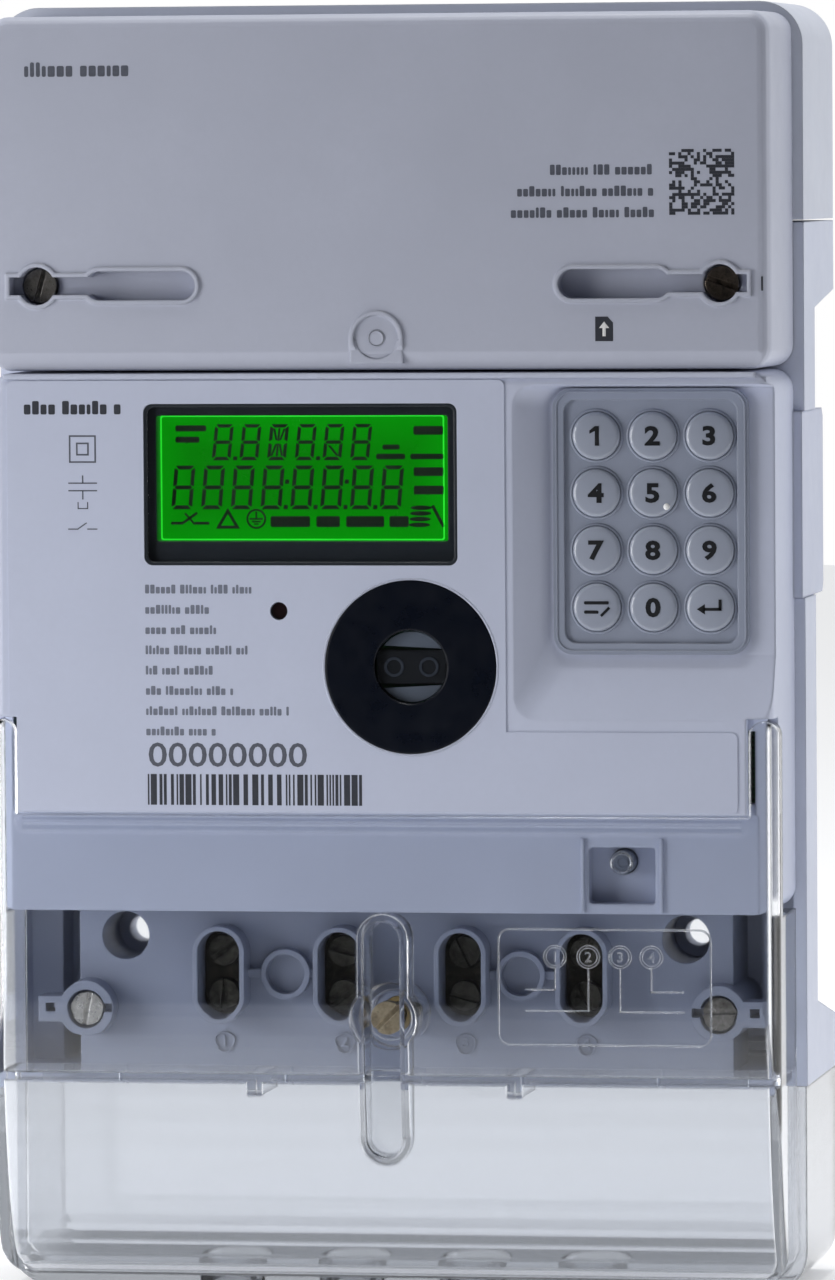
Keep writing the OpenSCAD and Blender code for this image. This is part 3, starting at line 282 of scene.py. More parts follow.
def glowing(name, colour, strength):
    s = Shader(name)
    s.link(s.mix(s.span(s.noise(0.01, 2), 0, 1), colour, shade(colour, 0.85)),
           s.bsdf.inputs["Emission Color"])
    s.set(Emission_Strength=strength, Base_Color=shade(colour, 0.2))
    s.link(s.span(s.noise(0.002, 2), 0.3, 0.4), s.bsdf.inputs["Roughness"])
    return s.mat


def ink(name, colour, rough=0.5, fade=0.12):
    """Printed ink with slightly uneven cover."""
    s = Shader(name)
    s.link(s.mix(s.span(s.noise(0.0006, 3, seed=13.0), 0, 1), shade(colour, 1 - fade),
                 shade(colour, 1 + fade)), s.bsdf.inputs["Base Color"])
    s.link(s.span(s.noise(0.002, 3, seed=14.0), rough - 0.05, rough + 0.05),
           s.bsdf.inputs["Roughness"])
    return s.mat


# The front and module colours are the case and back plastic made darker, as painted shade on the dimly lit
# front faces.
FRONT_PAINTED_SHADE = (0.50, 0.535, 0.665, 1)
CASE = (0.55, 0.585, 0.70, 1)
MODULE_PAINTED_SHADE = (0.44, 0.463, 0.56, 1)
BACK = (0.55, 0.58, 0.67, 1)

module_front_painted_shade = moulded("module_front_plastic", MODULE_PAINTED_SHADE, 0.4, 0.00032, 0.000014, 0.0006)
front_plastic = moulded("front_plastic", FRONT_PAINTED_SHADE, 0.4, 0.00028, 0.000011, 0.0008)
case_plastic = moulded("case_plastic", CASE, 0.46, 0.0004, 0.00002, 0.0005)
module_back = moulded("module_back_plastic", BACK, 0.46, 0.0004, 0.00002, 0.0005)
# The terminal block's colour is the case plastic darkened as painted shade for its deep recess behind the
# clear cover.
block_plastic = moulded("block_plastic", (0.27, 0.295, 0.375, 1), 0.38, 0.0003, 0.00001, 0.00035)
# The label film copies the darkened front tone, so it carries the same painted shade of the dimly lit front.
label_film = moulded("label_film", (0.49, 0.525, 0.655, 1), 0.38, 0.00022, 0.000008, 0.0001, 0.04)
frame_plastic = moulded("keypad_frame_plastic", (0.27, 0.30, 0.385, 1), 0.36, 0.0003, 0.000008, 0.0004)
key_rubber = satin("key_rubber", (0.30, 0.33, 0.41, 1), 0.36, 1.0, 0.0009, 0.0002, 0.000003, 0.04, 0.07)
mat_rubber = satin("mat_rubber", (0.27, 0.29, 0.37, 1), 0.6)
black_gloss = satin("black_gloss", (0.016, 0.021, 0.028, 1), 0.34, 0.2, 0.0004, 0.0004, 0.000004)
port_black = satin("port_black", (0.0015, 0.003, 0.008, 1), 0.3, 0.0, 0.0006, 0.0003, 0.000004,
                   level=0.3)
black_matte = satin("black_matte", (0.014, 0.015, 0.018, 1), 0.6)
plunger_grey = satin("plunger_grey", (0.16, 0.18, 0.23, 1), 0.42)
# The cover's grey tint is partly its own and partly deepened as painted shade on the block and strip behind
# it; the tray's dark tint is painted shade for the inside of the tray.
clear_cover = clear("clear_cover", (0.89, 0.905, 0.93, 1))
clear_tray_painted_shade = clear("clear_tray_painted_shade", (0.49, 0.51, 0.545, 1), 1.58, 0.05)
emboss_clear = clear("emboss_clear", (0.97, 0.98, 0.99, 1), 1.5, 0.22, 0.000002, 0.0002)
bead_clear = clear("bead_clear", (0.95, 0.962, 0.98, 1), 1.58, 0.04, 0, 0)
milky_clear = clear("milky_clear", (0.93, 0.945, 0.965, 1), 1.5, 0.45, 0.000002, 0.0002)
lens_clear = clear("lens_clear", (0.95, 0.96, 0.97, 1), 1.49, 0.015, 0.000001, 0.0002)
smoked = clear("smoked_window", (0.42, 0.45, 0.50, 1), 1.5, 0.08, 0.000001, 0.0002)
display_green = backlit("display_green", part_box("display_glass"))
light_guide = glowing("light_guide", (0.02, 0.55, 0.03, 1), 0.6)
bright_line = glowing("display_edge_glow", (0.02, 0.85, 0.03, 1), 1.0)
segment_dark = ink("display_segment", (0.0, 0.010, 0.001, 1), 0.35)
circuit = board("circuit_board")
diode_dark = satin("diode_dark", (0.012, 0.008, 0.016, 1), 0.18, 0.6, 0.0004)
diode_rim = satin("diode_rim", (0.10, 0.11, 0.13, 1), 0.3, 0.4, 0.0002)
window_grey = satin("window_grey", (0.36, 0.39, 0.44, 1), 0.4, 0.3, 0.0003)
lamp_red = satin("lamp_red", (0.011, 0.004, 0.005, 1), 0.2, 0.6, 0.0004)
brass = metal("brass", (0.62, 0.46, 0.20, 1), (0.34, 0.25, 0.11, 1), 0.28)
# The terminal clamps and their screws are coloured near black as painted shade in the terminal wells.
clamp_brass_painted_shade = metal("clamp_brass_painted_shade", (0.05, 0.045, 0.036, 1), (0.012, 0.011, 0.01, 1), 0.42)
copper = metal("copper", (0.72, 0.38, 0.24, 1), (0.42, 0.2, 0.12, 1), 0.3)
dark_steel = metal("dark_steel", (0.11, 0.105, 0.09, 1), (0.025, 0.024, 0.02, 1), 0.34)
tin_plate = metal("tin_plate", (0.62, 0.64, 0.66, 1), (0.45, 0.47, 0.49, 1), 0.26)
relay_blue = satin("relay_blue", (0.02, 0.12, 0.2, 1), 0.35, 0.2)
winding_tape = satin("winding_tape", (0.62, 0.42, 0.04, 1), 0.35, 0.1)
cell_sleeve = satin("cell_sleeve", (0.02, 0.06, 0.22, 1), 0.25, 0.4)
cell_white = satin("cell_white", (0.7, 0.68, 0.6, 1), 0.4, 0.1)
card_plastic = satin("card_plastic", (0.75, 0.73, 0.68, 1), 0.35, 0.1)
key_ink = ink("key_ink", (0.004, 0.005, 0.008, 1), 0.45)
label_ink = ink("label_ink", (0.030, 0.033, 0.045, 1), 0.45)
soft_ink = ink("soft_ink", (0.085, 0.092, 0.12, 1), 0.45)
pale_ink = ink("pale_ink", (0.15, 0.165, 0.215, 1), 0.45)
nib_white = satin("nib_white", (0.8, 0.8, 0.8, 1), 0.35, 0.2)


def screw_metal(node, colour, dark, rough=0.24):
    low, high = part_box(node)
    return metal(node + "_metal", colour, dark, rough, ((low.x + high.x) / 2, (low.z + high.z) / 2))


FINISH = {
    "module_cover": module_front_painted_shade, "module_back": module_back, "module_board": circuit,
    "cellular_modem": tin_plate, "module_antenna": brass, "sim_holder": tin_plate,
    "sim_card": card_plastic, "module_plug": black_matte, "base_case": case_plastic,
    "cable_tray": clear_tray_painted_shade, "front_cover": front_plastic, "front_label": label_film,
    "hanger_plate": tin_plate, "hanger_screws": tin_plate, "module_nuts": brass,
    "module_socket": black_matte, "display_window": lens_clear, "display_bezel": black_gloss,
    "display_glass": display_green, "display_backlight": light_guide,
    "keypad_frame": frame_plastic, "keypad_mat": mat_rubber, "keypad_board": circuit,
    "port_ring": port_black, "port_window": smoked, "diode_holder": black_matte,
    "infrared_diodes": diode_dark, "pulse_lamp": lamp_red, "main_board": circuit,
    "transformer": winding_tape, "supercapacitor": cell_sleeve, "backup_battery": cell_white,
    "current_shunt": copper, "latching_relay": relay_blue, "relay_busbars": copper,
    "terminal_block": block_plastic, "terminal_clamps": clamp_brass_painted_shade, "clamp_screws": dark_steel,
    "cover_switch": black_matte, "switch_plunger": plunger_grey, "terminal_cover": clear_cover,
    "cover_nut": brass,
    "module_screw_left": screw_metal("module_screw_left", (0.46, 0.44, 0.42, 1), (0.13, 0.12, 0.11, 1)),
    "module_screw_right": screw_metal("module_screw_right", (0.30, 0.24, 0.19, 1), (0.05, 0.045, 0.04, 1)),
    "case_screw_left": screw_metal("case_screw_left", (0.80, 0.79, 0.76, 1), (0.42, 0.41, 0.39, 1), 0.2),
    "case_screw_right": screw_metal("case_screw_right", (0.42, 0.40, 0.37, 1), (0.10, 0.09, 0.08, 1)),
    "cover_screw": screw_metal("cover_screw", (0.50, 0.43, 0.31, 1), (0.16, 0.13, 0.09, 1)),
}
for name, node in nodes.items():
    mat = FINISH.get(name, key_rubber)
    if not node.material_slots:
        node.data.materials.append(mat)
    for slot in node.material_slots:
        slot.material = mat


# -------------------------------------------------------------- piece building

def finish_piece(name, bm, mat, body, smooth=False):
    """Object from a bmesh, riding on a body and painted by one material slot."""
    bmesh.ops.recalc_face_normals(bm, faces=bm.faces)
    mesh = bpy.data.meshes.new(name)
    bm.to_mesh(mesh)
    bm.free()
    for face in mesh.polygons:
        face.use_smooth = smooth
    mesh.materials.append(mat)
    piece = bpy.data.objects.new(name, mesh)
    bpy.context.scene.collection.objects.link(piece)
    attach(piece, body)
    return piece


def add_prism(bm, loop, front, back):
    """Closed prism of an X-Z loop in mm, between two depths in mm."""
    ring_a = [bm.verts.new((x * MM, front * MM, z * MM)) for x, z in loop]
    ring_b = [bm.verts.new((x * MM, back * MM, z * MM)) for x, z in loop]
    bm.faces.new(ring_a)
    bm.faces.new(ring_b)
    count = len(loop)
    for i in range(count):
        j = (i + 1) % count
        bm.faces.new((ring_a[i], ring_a[j], ring_b[j], ring_b[i]))


def add_ring(bm, outer, inner, front, back):
    """Closed ring between two X-Z loops of the same number of points."""
    sets = [[bm.verts.new((x * MM, y * MM, z * MM)) for x, z in loop]
            for loop, y in ((outer, front), (inner, front), (inner, back), (outer, back))]
    count = len(outer)
    for i in range(count):
        j = (i + 1) % count
        for k in range(4):
            a, b = sets[k], sets[(k + 1) % 4]
            bm.faces.new((a[i], a[j], b[j], b[i]))


def bar(x0, x1, z0, z1, slant=0.0):
    """Upright rectangle, or one that leans to the right by slant per mm of height."""
    lean = slant * (z1 - z0)
    return [(x0, z0), (x1, z0), (x1 + lean, z1), (x0 + lean, z1)]


def polar(x, z, r, degrees):
    """The point at that radius and angle from a centre."""
    t = math.radians(degrees)
    return x + r * math.cos(t), z + r * math.sin(t)


def circle(x, z, r, count=40):
    return [polar(x, z, r, 360 * i / count) for i in range(count)]


def rounded(x0, x1, z0, z1, r, count=6):
    """Rectangle with round corners."""
    loop = []
    for cx, cz, a in ((x1 - r, z1 - r, 0), (x0 + r, z1 - r, 90), (x0 + r, z0 + r, 180),
                      (x1 - r, z0 + r, 270)):
        loop += [polar(cx, cz, r, a + 90 * i / count) for i in range(count + 1)]
    return loop


def hoop(x0, x1, z0, z1, r, width, inner_r):
    """Rounded outline and the one inside it, for a ring of that width."""
    return (rounded(x0, x1, z0, z1, r),
            rounded(x0 + width, x1 - width, z0 + width, z1 - width, inner_r))


def stroke(points, width):
    """Loops for a path of straight strokes of that width, with square ends."""
    loops = []
    for (x0, z0), (x1, z1) in zip(points, points[1:]):
        length = math.hypot(x1 - x0, z1 - z0)
        ux, uz = (x1 - x0) / length, (z1 - z0) / length
        h = width / 2
        loops.append([(x0 - ux * h - uz * h, z0 - uz * h + ux * h),
                      (x0 - ux * h + uz * h, z0 - uz * h - ux * h),
                      (x1 + ux * h + uz * h, z1 + uz * h - ux * h),
                      (x1 + ux * h - uz * h, z1 + uz * h + ux * h)])
    return loops


def flat_piece(name, loops, front, back, mat, body, rings=()):
    """Piece made of prisms and rings between two depths in mm."""
    bm = bmesh.new()
    for loop in loops:
        add_prism(bm, loop, front, back)
    for outer, inner in rings:
        add_ring(bm, outer, inner, front, back)
    return finish_piece(name, bm, mat, body)


def lathe_piece(name, x, z, y, profile, count, mat):
    """Smooth ring on the meter, turned about Y from a profile of radius and depth in mm."""
    bm = bmesh.new()
    turns = []
    for i in range(count):
        px, pz = math.cos(2 * math.pi * i / count), math.sin(2 * math.pi * i / count)
        turns.append([bm.verts.new(((x + r * px) * MM, (y + d) * MM, (z + r * pz) * MM))
                      for r, d in profile])
    for i in range(count):
        a, b = turns[i], turns[(i + 1) % count]
        for k in range(len(profile)):
            m = (k + 1) % len(profile)
            bm.faces.new((a[k], a[m], b[m], b[k]))
    return finish_piece(name, bm, mat, "meter", True)


def numeral(name, text, x, z, height, front, depth, mat, body, bold=0.0, wide=1.0):
    """Raised or printed numerals, centred on a point in mm."""
    curve = bpy.data.curves.new(name + "_curve", "FONT")
    curve.body = text
    curve.size = 1.0
    curve.offset = bold
    curve.resolution_u = 3
    source = bpy.data.objects.new(name + "_text", curve)
    bpy.context.scene.collection.objects.link(source)
    bpy.context.view_layer.update()
    mesh = bpy.data.meshes.new_from_object(source.evaluated_get(
        bpy.context.evaluated_depsgraph_get()))
    bpy.data.objects.remove(source)
    xs = [v.co.x for v in mesh.vertices]
    ys = [v.co.y for v in mesh.vertices]
    scale = height / (max(ys) - min(ys))
    mid_x, mid_y = (max(xs) + min(xs)) / 2, (max(ys) + min(ys)) / 2
    bm = bmesh.new()
    bm.from_mesh(mesh)
    bpy.data.meshes.remove(mesh)
    bmesh.ops.remove_doubles(bm, verts=bm.verts, dist=1e-5)
    for v in bm.verts:
        v.co = Vector(((x + (v.co.x - mid_x) * scale * wide) * MM, front * MM,
                       (z + (v.co.y - mid_y) * scale) * MM))
    made = bmesh.ops.extrude_face_region(bm, geom=list(bm.faces))
    bmesh.ops.translate(bm, vec=(0, depth * MM, 0),
                        verts=[g for g in made["geom"] if isinstance(g, bmesh.types.BMVert)])
    return finish_piece(name, bm, mat, body)


def centre(node):
    """Middle of a node's box, as X and Z in mm."""
    low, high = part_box(node)
    return (low.x + high.x) / 2 / MM, (low.z + high.z) / 2 / MM


def front_of(node):
    """Depth in mm of a node's nearest point."""
    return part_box(node)[0].y / MM


def outline_of(node):
    """Left, right, bottom and top of a node's box in mm."""
    low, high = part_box(node)
    return low.x / MM, high.x / MM, low.z / MM, high.z / MM


# --------------------------------------------------------------------- keypad

PAD_DEPTH = 0.6
COLLAR = [(4.48, -0.18), (4.56, -0.34), (4.70, -0.36), (4.86, -0.24), (5.0, -0.02), (5.05, 0.2), (4.48, 0.2)]
PRINT_H = 3.6
NIB_R = 0.62
pad_front = front_of("keypad_frame")
for name in [n for n in nodes if n.startswith("key_")]:
    kx, kz = centre(name)
    lathe_piece("collar_" + name, kx, kz, pad_front + PAD_DEPTH, COLLAR, 72, frame_plastic)
fx0, fx1, fz0, fz1 = outline_of("keypad_frame")
flat_piece("keypad_bead", [], pad_front - 0.14, pad_front + 0.05, frame_plastic, "meter",
           [hoop(fx0 + 0.45, fx1 - 0.45, fz0 + 0.45, fz1 - 0.45, 3.15, 0.4, 2.75)])


def key_print(key, loops, sunk, depth):
    """Loops printed on the top of a key, given from the key's centre."""
    kx, kz = centre(key)
    top = front_of(key)
    placed = [[(kx + x, kz + z) for x, z in loop] for loop in loops]
    flat_piece("print_" + key, placed, top - sunk, top + depth, key_ink, key)


for digit in "234567890":
    key = "key_" + digit
    kx, kz = centre(key)
    numeral("print_" + key, digit, kx, kz, PRINT_H, front_of(key) - 0.02, 0.14, key_ink, key,
            0.036, 1.18)
half_h = PRINT_H / 2
flag = [(-0.1, half_h), (-1.1, 1.0), (-1.1, 0.4), (-0.1, 0.9)]
key_print("key_1", [bar(-0.1, 0.65, -half_h, half_h), flag], 0.02, 0.12)
key_print("key_start", [rounded(-2.3, 2.3, 0.55, 1.15, 0.25), rounded(-2.3, 0.4, -1.15, -0.55, 0.25)]
          + stroke([(1.0, -1.4), (2.2, -0.2)], 0.5), 0.01, 0.16)
key_print("key_submit", stroke([(1.9, 1.2), (1.9, -0.3), (-1.0, -0.3)], 0.55)
          + [[(-2.4, -0.3), (-0.9, -1.25), (-0.9, 0.65)]], 0.01, 0.16)

kx, kz = centre("key_5")
nib = bmesh.new()
nib_at = Vector((kx + 2.6, front_of("key_5") + 0.2, kz - 2.5)) * MM
bmesh.ops.create_uvsphere(nib, u_segments=20, v_segments=12, radius=NIB_R * MM,
                          matrix=Matrix.Translation(nib_at) @ Matrix.Diagonal((1, 0.55, 1, 1)))
finish_piece("key_5_nib", nib, nib_white, "key_5", True)

# -------------------------------------------------------------------- display

glass_front = front_of("display_glass")
LCD_Y = glass_front - 0.06
LCD_BACK = glass_front - 0.005


def segments(x, z1, z0, w, t, slant, style="eight"):
    """Seven-segment digit with top z1 and bottom z0; slant is the lean to the right per mm."""
    h = z1 - z0
    mid = (z0 + z1) / 2
    gap = 0.14

    def lean(points):
        return [(px + slant * (pz - z0), pz) for px, pz in points]

    def across(z, cut_top, cut_low):
        """Level segment whose ends are cut back on its upper or its lower side."""
        a, b = x + gap + t * 0.1, x + w - gap - t * 0.1
        return lean([(a + cut_top, z + t / 2), (b - cut_top, z + t / 2),
                     (b - cut_low, z - t / 2), (a + cut_low, z - t / 2)])

    loops = [across(z1 - t / 2, 0, t * 0.9), across(z0 + t / 2, t * 0.9, 0)]
    if style != "star":
        loops.append(lean([(x + t * 0.9, mid + t / 2), (x + w - t * 0.9, mid + t / 2),
                           (x + w - t * 0.4, mid), (x + w - t * 0.9, mid - t / 2),
                           (x + t * 0.9, mid - t / 2), (x + t * 0.4, mid)]))
    for side in (0, 1):
        a = x + side * (w - t)
        b = a + t
        outer, inner = (a, b) if side == 0 else (b, a)
        loops.append(lean([(outer, z1 - gap - t * 0.4), (inner, z1 - gap - t), (inner, mid + gap + t / 2),
                           (outer, mid + gap)]))
        loops.append(lean([(outer, mid - gap), (inner, mid - gap - t / 2), (inner, z0 + gap + t),
                           (outer, z0 + gap + t * 0.4)]))
    if style == "star":
        cx = x + w / 2
        thin = t * 0.3
        for low, high in ((mid + 0.25, z1 - t - 0.15), (z0 + t + 0.15, mid - 0.25)):
            loops.append(lean(bar(cx - thin, cx + thin, low, high)))
        for sx in (-1, 1):
            for sz in (-1, 1):
                ax, az = cx + sx * t * 0.55, mid + sz * 0.35
                bx, bz = cx + sx * (w / 2 - t * 1.25), mid + sz * (h / 2 - t * 1.3)
                loops.append(lean([(ax - thin, az), (ax + thin, az), (bx + thin, bz), (bx - thin, bz)]))
    if style == "slash":
        ax, az = x + t * 1.2, mid - t
        bx, bz = x + w - t * 1.6, z0 + t * 1.3
        loops.append(lean([(ax, az), (ax + t * 0.8, az), (bx + t * 0.8, bz), (bx, bz)]))
    return loops


def dot_after(x, z, height, slant):
    """Decimal point or half of a colon."""
    return bar(x, x + 0.75, z, z + height, slant)


# Left edge, pitch, top, bottom, width, stroke and lean of each row of digits
TOP_ROW = (-31.9, 5.2, 42.6, 35.95, 3.5, 0.62, 0.11)
LOW_ROW = (-39.6, 5.6, 34.95, 26.9, 3.9, 0.7, 0.09)
digits = []
left, pitch, top, low, wide, thick, slant = TOP_ROW
for i in range(6):
    style = {2: "star", 4: "slash"}.get(i, "eight")
    digits += segments(left + pitch * i, top, low, wide, thick, slant, style)
for i in (0, 3):
    digits.append(dot_after(left + pitch * i + 4.0, low, 0.7, slant))
left, pitch, top, low, wide, thick, slant = LOW_ROW
for i in range(8):
    digits += segments(left + pitch * i, top, low, wide, thick, slant)
for i in (3, 4, 5, 6):
    digits.append(dot_after(left + pitch * i + 4.35, low, 0.75, slant))
for i in (3, 5):
    digits.append(dot_after(left + pitch * i + 4.65, low + 4.7, 0.75, slant))
flat_piece("display_digits", digits, LCD_Y, LCD_BACK, segment_dark, "meter")

icons = []
icon_rings = []
# Open contact
icons += stroke([(-39.4, 24.3), (-37.6, 24.3)], 0.5) + stroke([(-37.2, 24.5), (-34.9, 26.1)], 0.45)
icons += stroke([(-34.9, 24.3), (-32.7, 24.3)], 0.5) + stroke([(-36.9, 26.0), (-35.3, 24.2)], 0.35)
# Plain triangle
icon_rings.append(([(-31.2, 23.3), (-26.7, 23.3), (-28.95, 27.1)],
                   [(-30.25, 23.85), (-27.65, 23.85), (-28.95, 26.05)]))
# Earth sign in a circle
icon_rings.append((circle(-23.6, 25.1, 1.85), circle(-23.6, 25.1, 1.5)))
icons += stroke([(-23.6, 26.3), (-23.6, 25.2)], 0.3) + stroke([(-24.7, 25.1), (-22.5, 25.1)], 0.3)
icons += stroke([(-24.3, 24.6), (-22.9, 24.6)], 0.28) + stroke([(-23.9, 24.15), (-23.3, 24.15)], 0.26)
# Bars in place of the words
for x0, x1, z0, z1 in ((-38.7, -32.9, 41.3, 42.4), (-38.7, -34.2, 39.2, 40.3), (-1.0, 4.4, 36.1, 37.1),
                       (5.4, 11.6, 36.1, 37.1), (0.2, 3.4, 37.9, 38.8), (6.0, 11.6, 40.6, 42.2),
                       (6.0, 11.6, 33.0, 34.6), (6.0, 11.6, 29.6, 31.2), (-20.9, -13.5, 23.6, 25.6),
                       (-12.3, -7.9, 23.6, 25.6), (-6.7, 0.4, 23.6, 25.6), (1.4, 5.0, 23.6, 25.6)):
    icons.append(rounded(x0, x1, z0, z1, 0.3, 3))
# Coins
for k in range(4):
    zc = 24.0 + 1.05 * k
    icons.append([(7.0 + 0.12 * k + 2.0 * x, zc + 0.42 * z) for x, z in circle(0, 0, 1, 18)])
icons += stroke([(9.6, 27.3), (11.4, 23.9)], 0.6)
flat_piece("display_icons", icons, LCD_Y, LCD_BACK, segment_dark, "meter", icon_rings)

# Bright line of light round the lit area
gx0, gx1, gz0, gz1 = outline_of("display_glass")
flat_piece("display_edge_light", [], LCD_Y, LCD_BACK, bright_line, "meter",
           [hoop(gx0 + 1.25, gx1 - 0.65, gz0 + 0.45, gz1 - 0.45, 0.5, 0.28, 0.4)])

# --------------------------------------------------------------- optical port

PORT_BEAD = [(15.98, 0.04), (16.28, -0.12), (16.5, 0.0), (16.55, 0.22), (15.98, 0.3)]
DIODE_X = 3.25
px, pz = centre("port_window")
lathe_piece("port_bead", px, pz, front_of("port_ring"), PORT_BEAD, 128, front_plastic)
win_y = front_of("port_window")
flat_piece("port_window_band", [bar(px - 6.45, px + 6.45, pz - 3.1, pz + 3.1)], win_y + 0.6, win_y + 0.66,
           black_matte, "meter")
for side, word in ((-1, "left"), (1, "right")):
    dx = px + side * DIODE_X
    flat_piece("port_diode_rim_" + word, [], win_y + 0.42, win_y + 0.6, diode_rim, "meter",
               [(circle(dx, pz, 1.85), circle(dx, pz, 1.3))])
cap = [polar(px, pz, 6.5, t) for t in range(31, 150, 7)]
low = [(x, 2 * pz - z) for x, z in reversed(cap)]
flat_piece("port_window_segments", [cap, low], win_y + 0.9, win_y + 1.0, window_grey, "meter")

# --------------------------------------------------------------------- prints

rng = random.Random(12)
label_y = front_of("front_label")
FACE_Y = label_y + 0.2


def greek(x, z, width, height, gen):
    """Unreadable stand-in for a line of print: words of plain blocks."""
    loops = []
    end = x + width
    left = gen.randint(3, 8)
    while x < end - height * 0.3:
        if left == 0:
            x += height * 0.42
            left = gen.randint(3, 8)
        w = min(height * gen.choice((0.28, 0.46, 0.5)), end - x)
        tall = height * gen.choice((0.74, 0.74, 1.0))
        loops.append(rounded(x, x + w, z, z + tall, height * 0.1, 2))
        x += w + height * 0.13
        left -= 1
    return loops


def label_print(name, loops, mat, rings=()):
    flat_piece(name, loops, label_y - 0.02, label_y + 0.05, mat, "meter", rings)


def module_print(name, loops, mat, front=0.03, back=0.05):
    flat_piece(name, loops, FACE_Y - front, FACE_Y + back, mat, "module")


lines = []
for k, width in enumerate((20.0, 12.3, 13.3, 19.7, 12.6, 16.4, 27.0, 13.4)):
    lines += greek(-43.7, 11.5 - 3.75 * k, width, 1.65, rng)
label_print("label_lines", lines, pale_ink)
label_print("label_title", greek(-66.3, 44.6, 18.6, 2.5, rng), label_ink)
numeral("label_serial", "00000000", -28.4, -18.3, 4.5, label_y - 0.02, 0.07, soft_ink, "meter",
        0.008, 1.2)
bars = []
x = -43.5
while x < -3.4:
    w = rng.choice((0.3, 0.3, 0.55, 0.85, 1.15))
    bars.append(bar(x, min(x + w, -3.1), -27.6, -21.9))
    x += w + rng.choice((0.26, 0.26, 0.5, 0.8))
label_print("label_bars", bars, label_ink)

SYMBOL_X = -55.3
symbols = []
for points, width in (
        ([(-2.6, 31.9), (2.6, 31.9)], 0.24), ([(-2.6, 30.5), (2.6, 30.5)], 0.24),
        ([(0, 31.9), (0, 33.2)], 0.24), ([(0, 30.5), (0, 29.0)], 0.24),
        ([(-0.9, 28.3), (-0.9, 27.2), (0.9, 27.2), (0.9, 28.3)], 0.2),
        ([(-2.7, 23.4), (-1.0, 23.4), (0.6, 24.5)], 0.22), ([(0.9, 23.4), (2.6, 23.4)], 0.22)):
    symbols += stroke([(SYMBOL_X + x, z) for x, z in points], width)
label_print("label_symbols", symbols, soft_ink,
            [tuple(bar(SYMBOL_X - h, SYMBOL_X + h, 38.2 - h, 38.2 + h) for h in pair)
             for pair in ((2.55, 2.25), (1.2, 0.9))])

prints = greek(-65.7, 106.9, 20.6, 2.7, rng)
for z, x0 in ((88.2, 32.5), (84.3, 26.4), (80.4, 25.2)):
    prints += greek(x0, z, 51.8 - x0, 1.9, rng)
module_print("module_lines", prints, soft_ink)

MATRIX_X, MATRIX_Z, MATRIX_W, MATRIX_N = 54.5, 80.8, 12.0, 21
cells = []
step = MATRIX_W / MATRIX_N
for row in range(MATRIX_N):
    run = 0
    for col in range(MATRIX_N + 1):
        dark = col < MATRIX_N and rng.random() < 0.5
        if dark:
            run += 1
        elif run:
            cells.append(bar(MATRIX_X + (col - run) * step, MATRIX_X + col * step, MATRIX_Z + row * step,
                             MATRIX_Z + (row + 1) * step - 0.01))
            run = 0
module_print("module_matrix", cells, label_ink)
module_print("module_card_icon", [[(40.7, 57.8), (44.0, 57.8), (44.0, 61.2), (43.0, 62.3), (40.7, 62.3)]],
             label_ink)
module_print("module_card_arrow", [[(42.35, 61.4), (41.4, 60.2), (42.05, 60.2), (42.05, 58.7),
                                    (42.65, 58.7), (42.65, 60.2), (43.3, 60.2)]], nib_white, 0.05, 0.03)
module_print("module_side_mark", [bar(71.35, 71.7, 66.9, 69.5)], label_ink, 0.02, 0.06)

# ---------------------------------------------------------------- clear cover

EMBOSS = 0.16
LIP_TOP = -29.5
LIP_HALF = 67.2
NUMBER_Z = -55.2
numbers = (32.5, 38.7, 44.6, 50.4)


def on_cover(name, loops, front, back, mat, rings=()):
    flat_piece(name, loops, front, back, mat, "terminal_cover", rings)


def lip_bead(name, z, half_z):
    """Half-round bar along X that stands proud of the cover's lip."""
    y, rise, clearance = FACE_Y - 0.2, 0.19, 0.01
    bm = bmesh.new()
    profile = [(y - rise * math.sin(math.radians(t)), z - half_z * math.cos(math.radians(t)))
               for t in range(0, 181, 15)] + [(y - clearance, z + half_z), (y - clearance, z - half_z)]
    ends = [[bm.verts.new((x * MM, py * MM, pz * MM)) for py, pz in profile] for x in (-LIP_HALF, LIP_HALF)]
    for ring in ends:
        bm.faces.new(ring)
    for i in range(len(profile)):
        j = (i + 1) % len(profile)
        bm.faces.new((ends[0][i], ends[0][j], ends[1][j], ends[1][i]))
    return finish_piece(name, bm, bead_clear, "terminal_cover")


box_rings = [hoop(21.8, 61.6, -71.7, -50.0, 2.2, 0.35, 1.9)]
for nx in numbers:
    for r in (2.2, 1.75):
        box_rings.append((circle(nx, NUMBER_Z, r), circle(nx, NUMBER_Z, r - 0.2)))
wires = []
for nx, turn_z, end_x in zip(numbers, (-61.3, -65.2, -65.3, -61.6), (27.1, 27.1, 56.4, 56.2)):
    wires += stroke([(nx, NUMBER_Z - 2.2), (nx, turn_z), (end_x, turn_z)], 0.3)
on_cover("cover_diagram", wires, FACE_Y - EMBOSS, FACE_Y - 0.002, emboss_clear, box_rings)
for i, nx in enumerate(numbers):
    numeral("cover_number_%d" % (i + 1), str(i + 1), nx, NUMBER_Z, 1.9, FACE_Y - EMBOSS, EMBOSS - 0.002,
            emboss_clear, "terminal_cover", 0.012)
on_cover("cover_ledge", [rounded(x0, x1, -80.9, -77.9, 0.4) for x0, x1 in
                         ((-66.5, -52.0), (-51.4, -20.5), (-19.9, -5.2), (5.2, 24.0), (24.6, 49.5),
                          (50.1, 66.5))], -47.1, -46.3, milky_clear)
lip_bead("cover_lip_bead_high", LIP_TOP - 0.75, 0.6)
lip_bead("cover_lip_bead_low", LIP_TOP - 2.4, 0.75)

# ----------------------------------------------------------------- switch's place on the strip

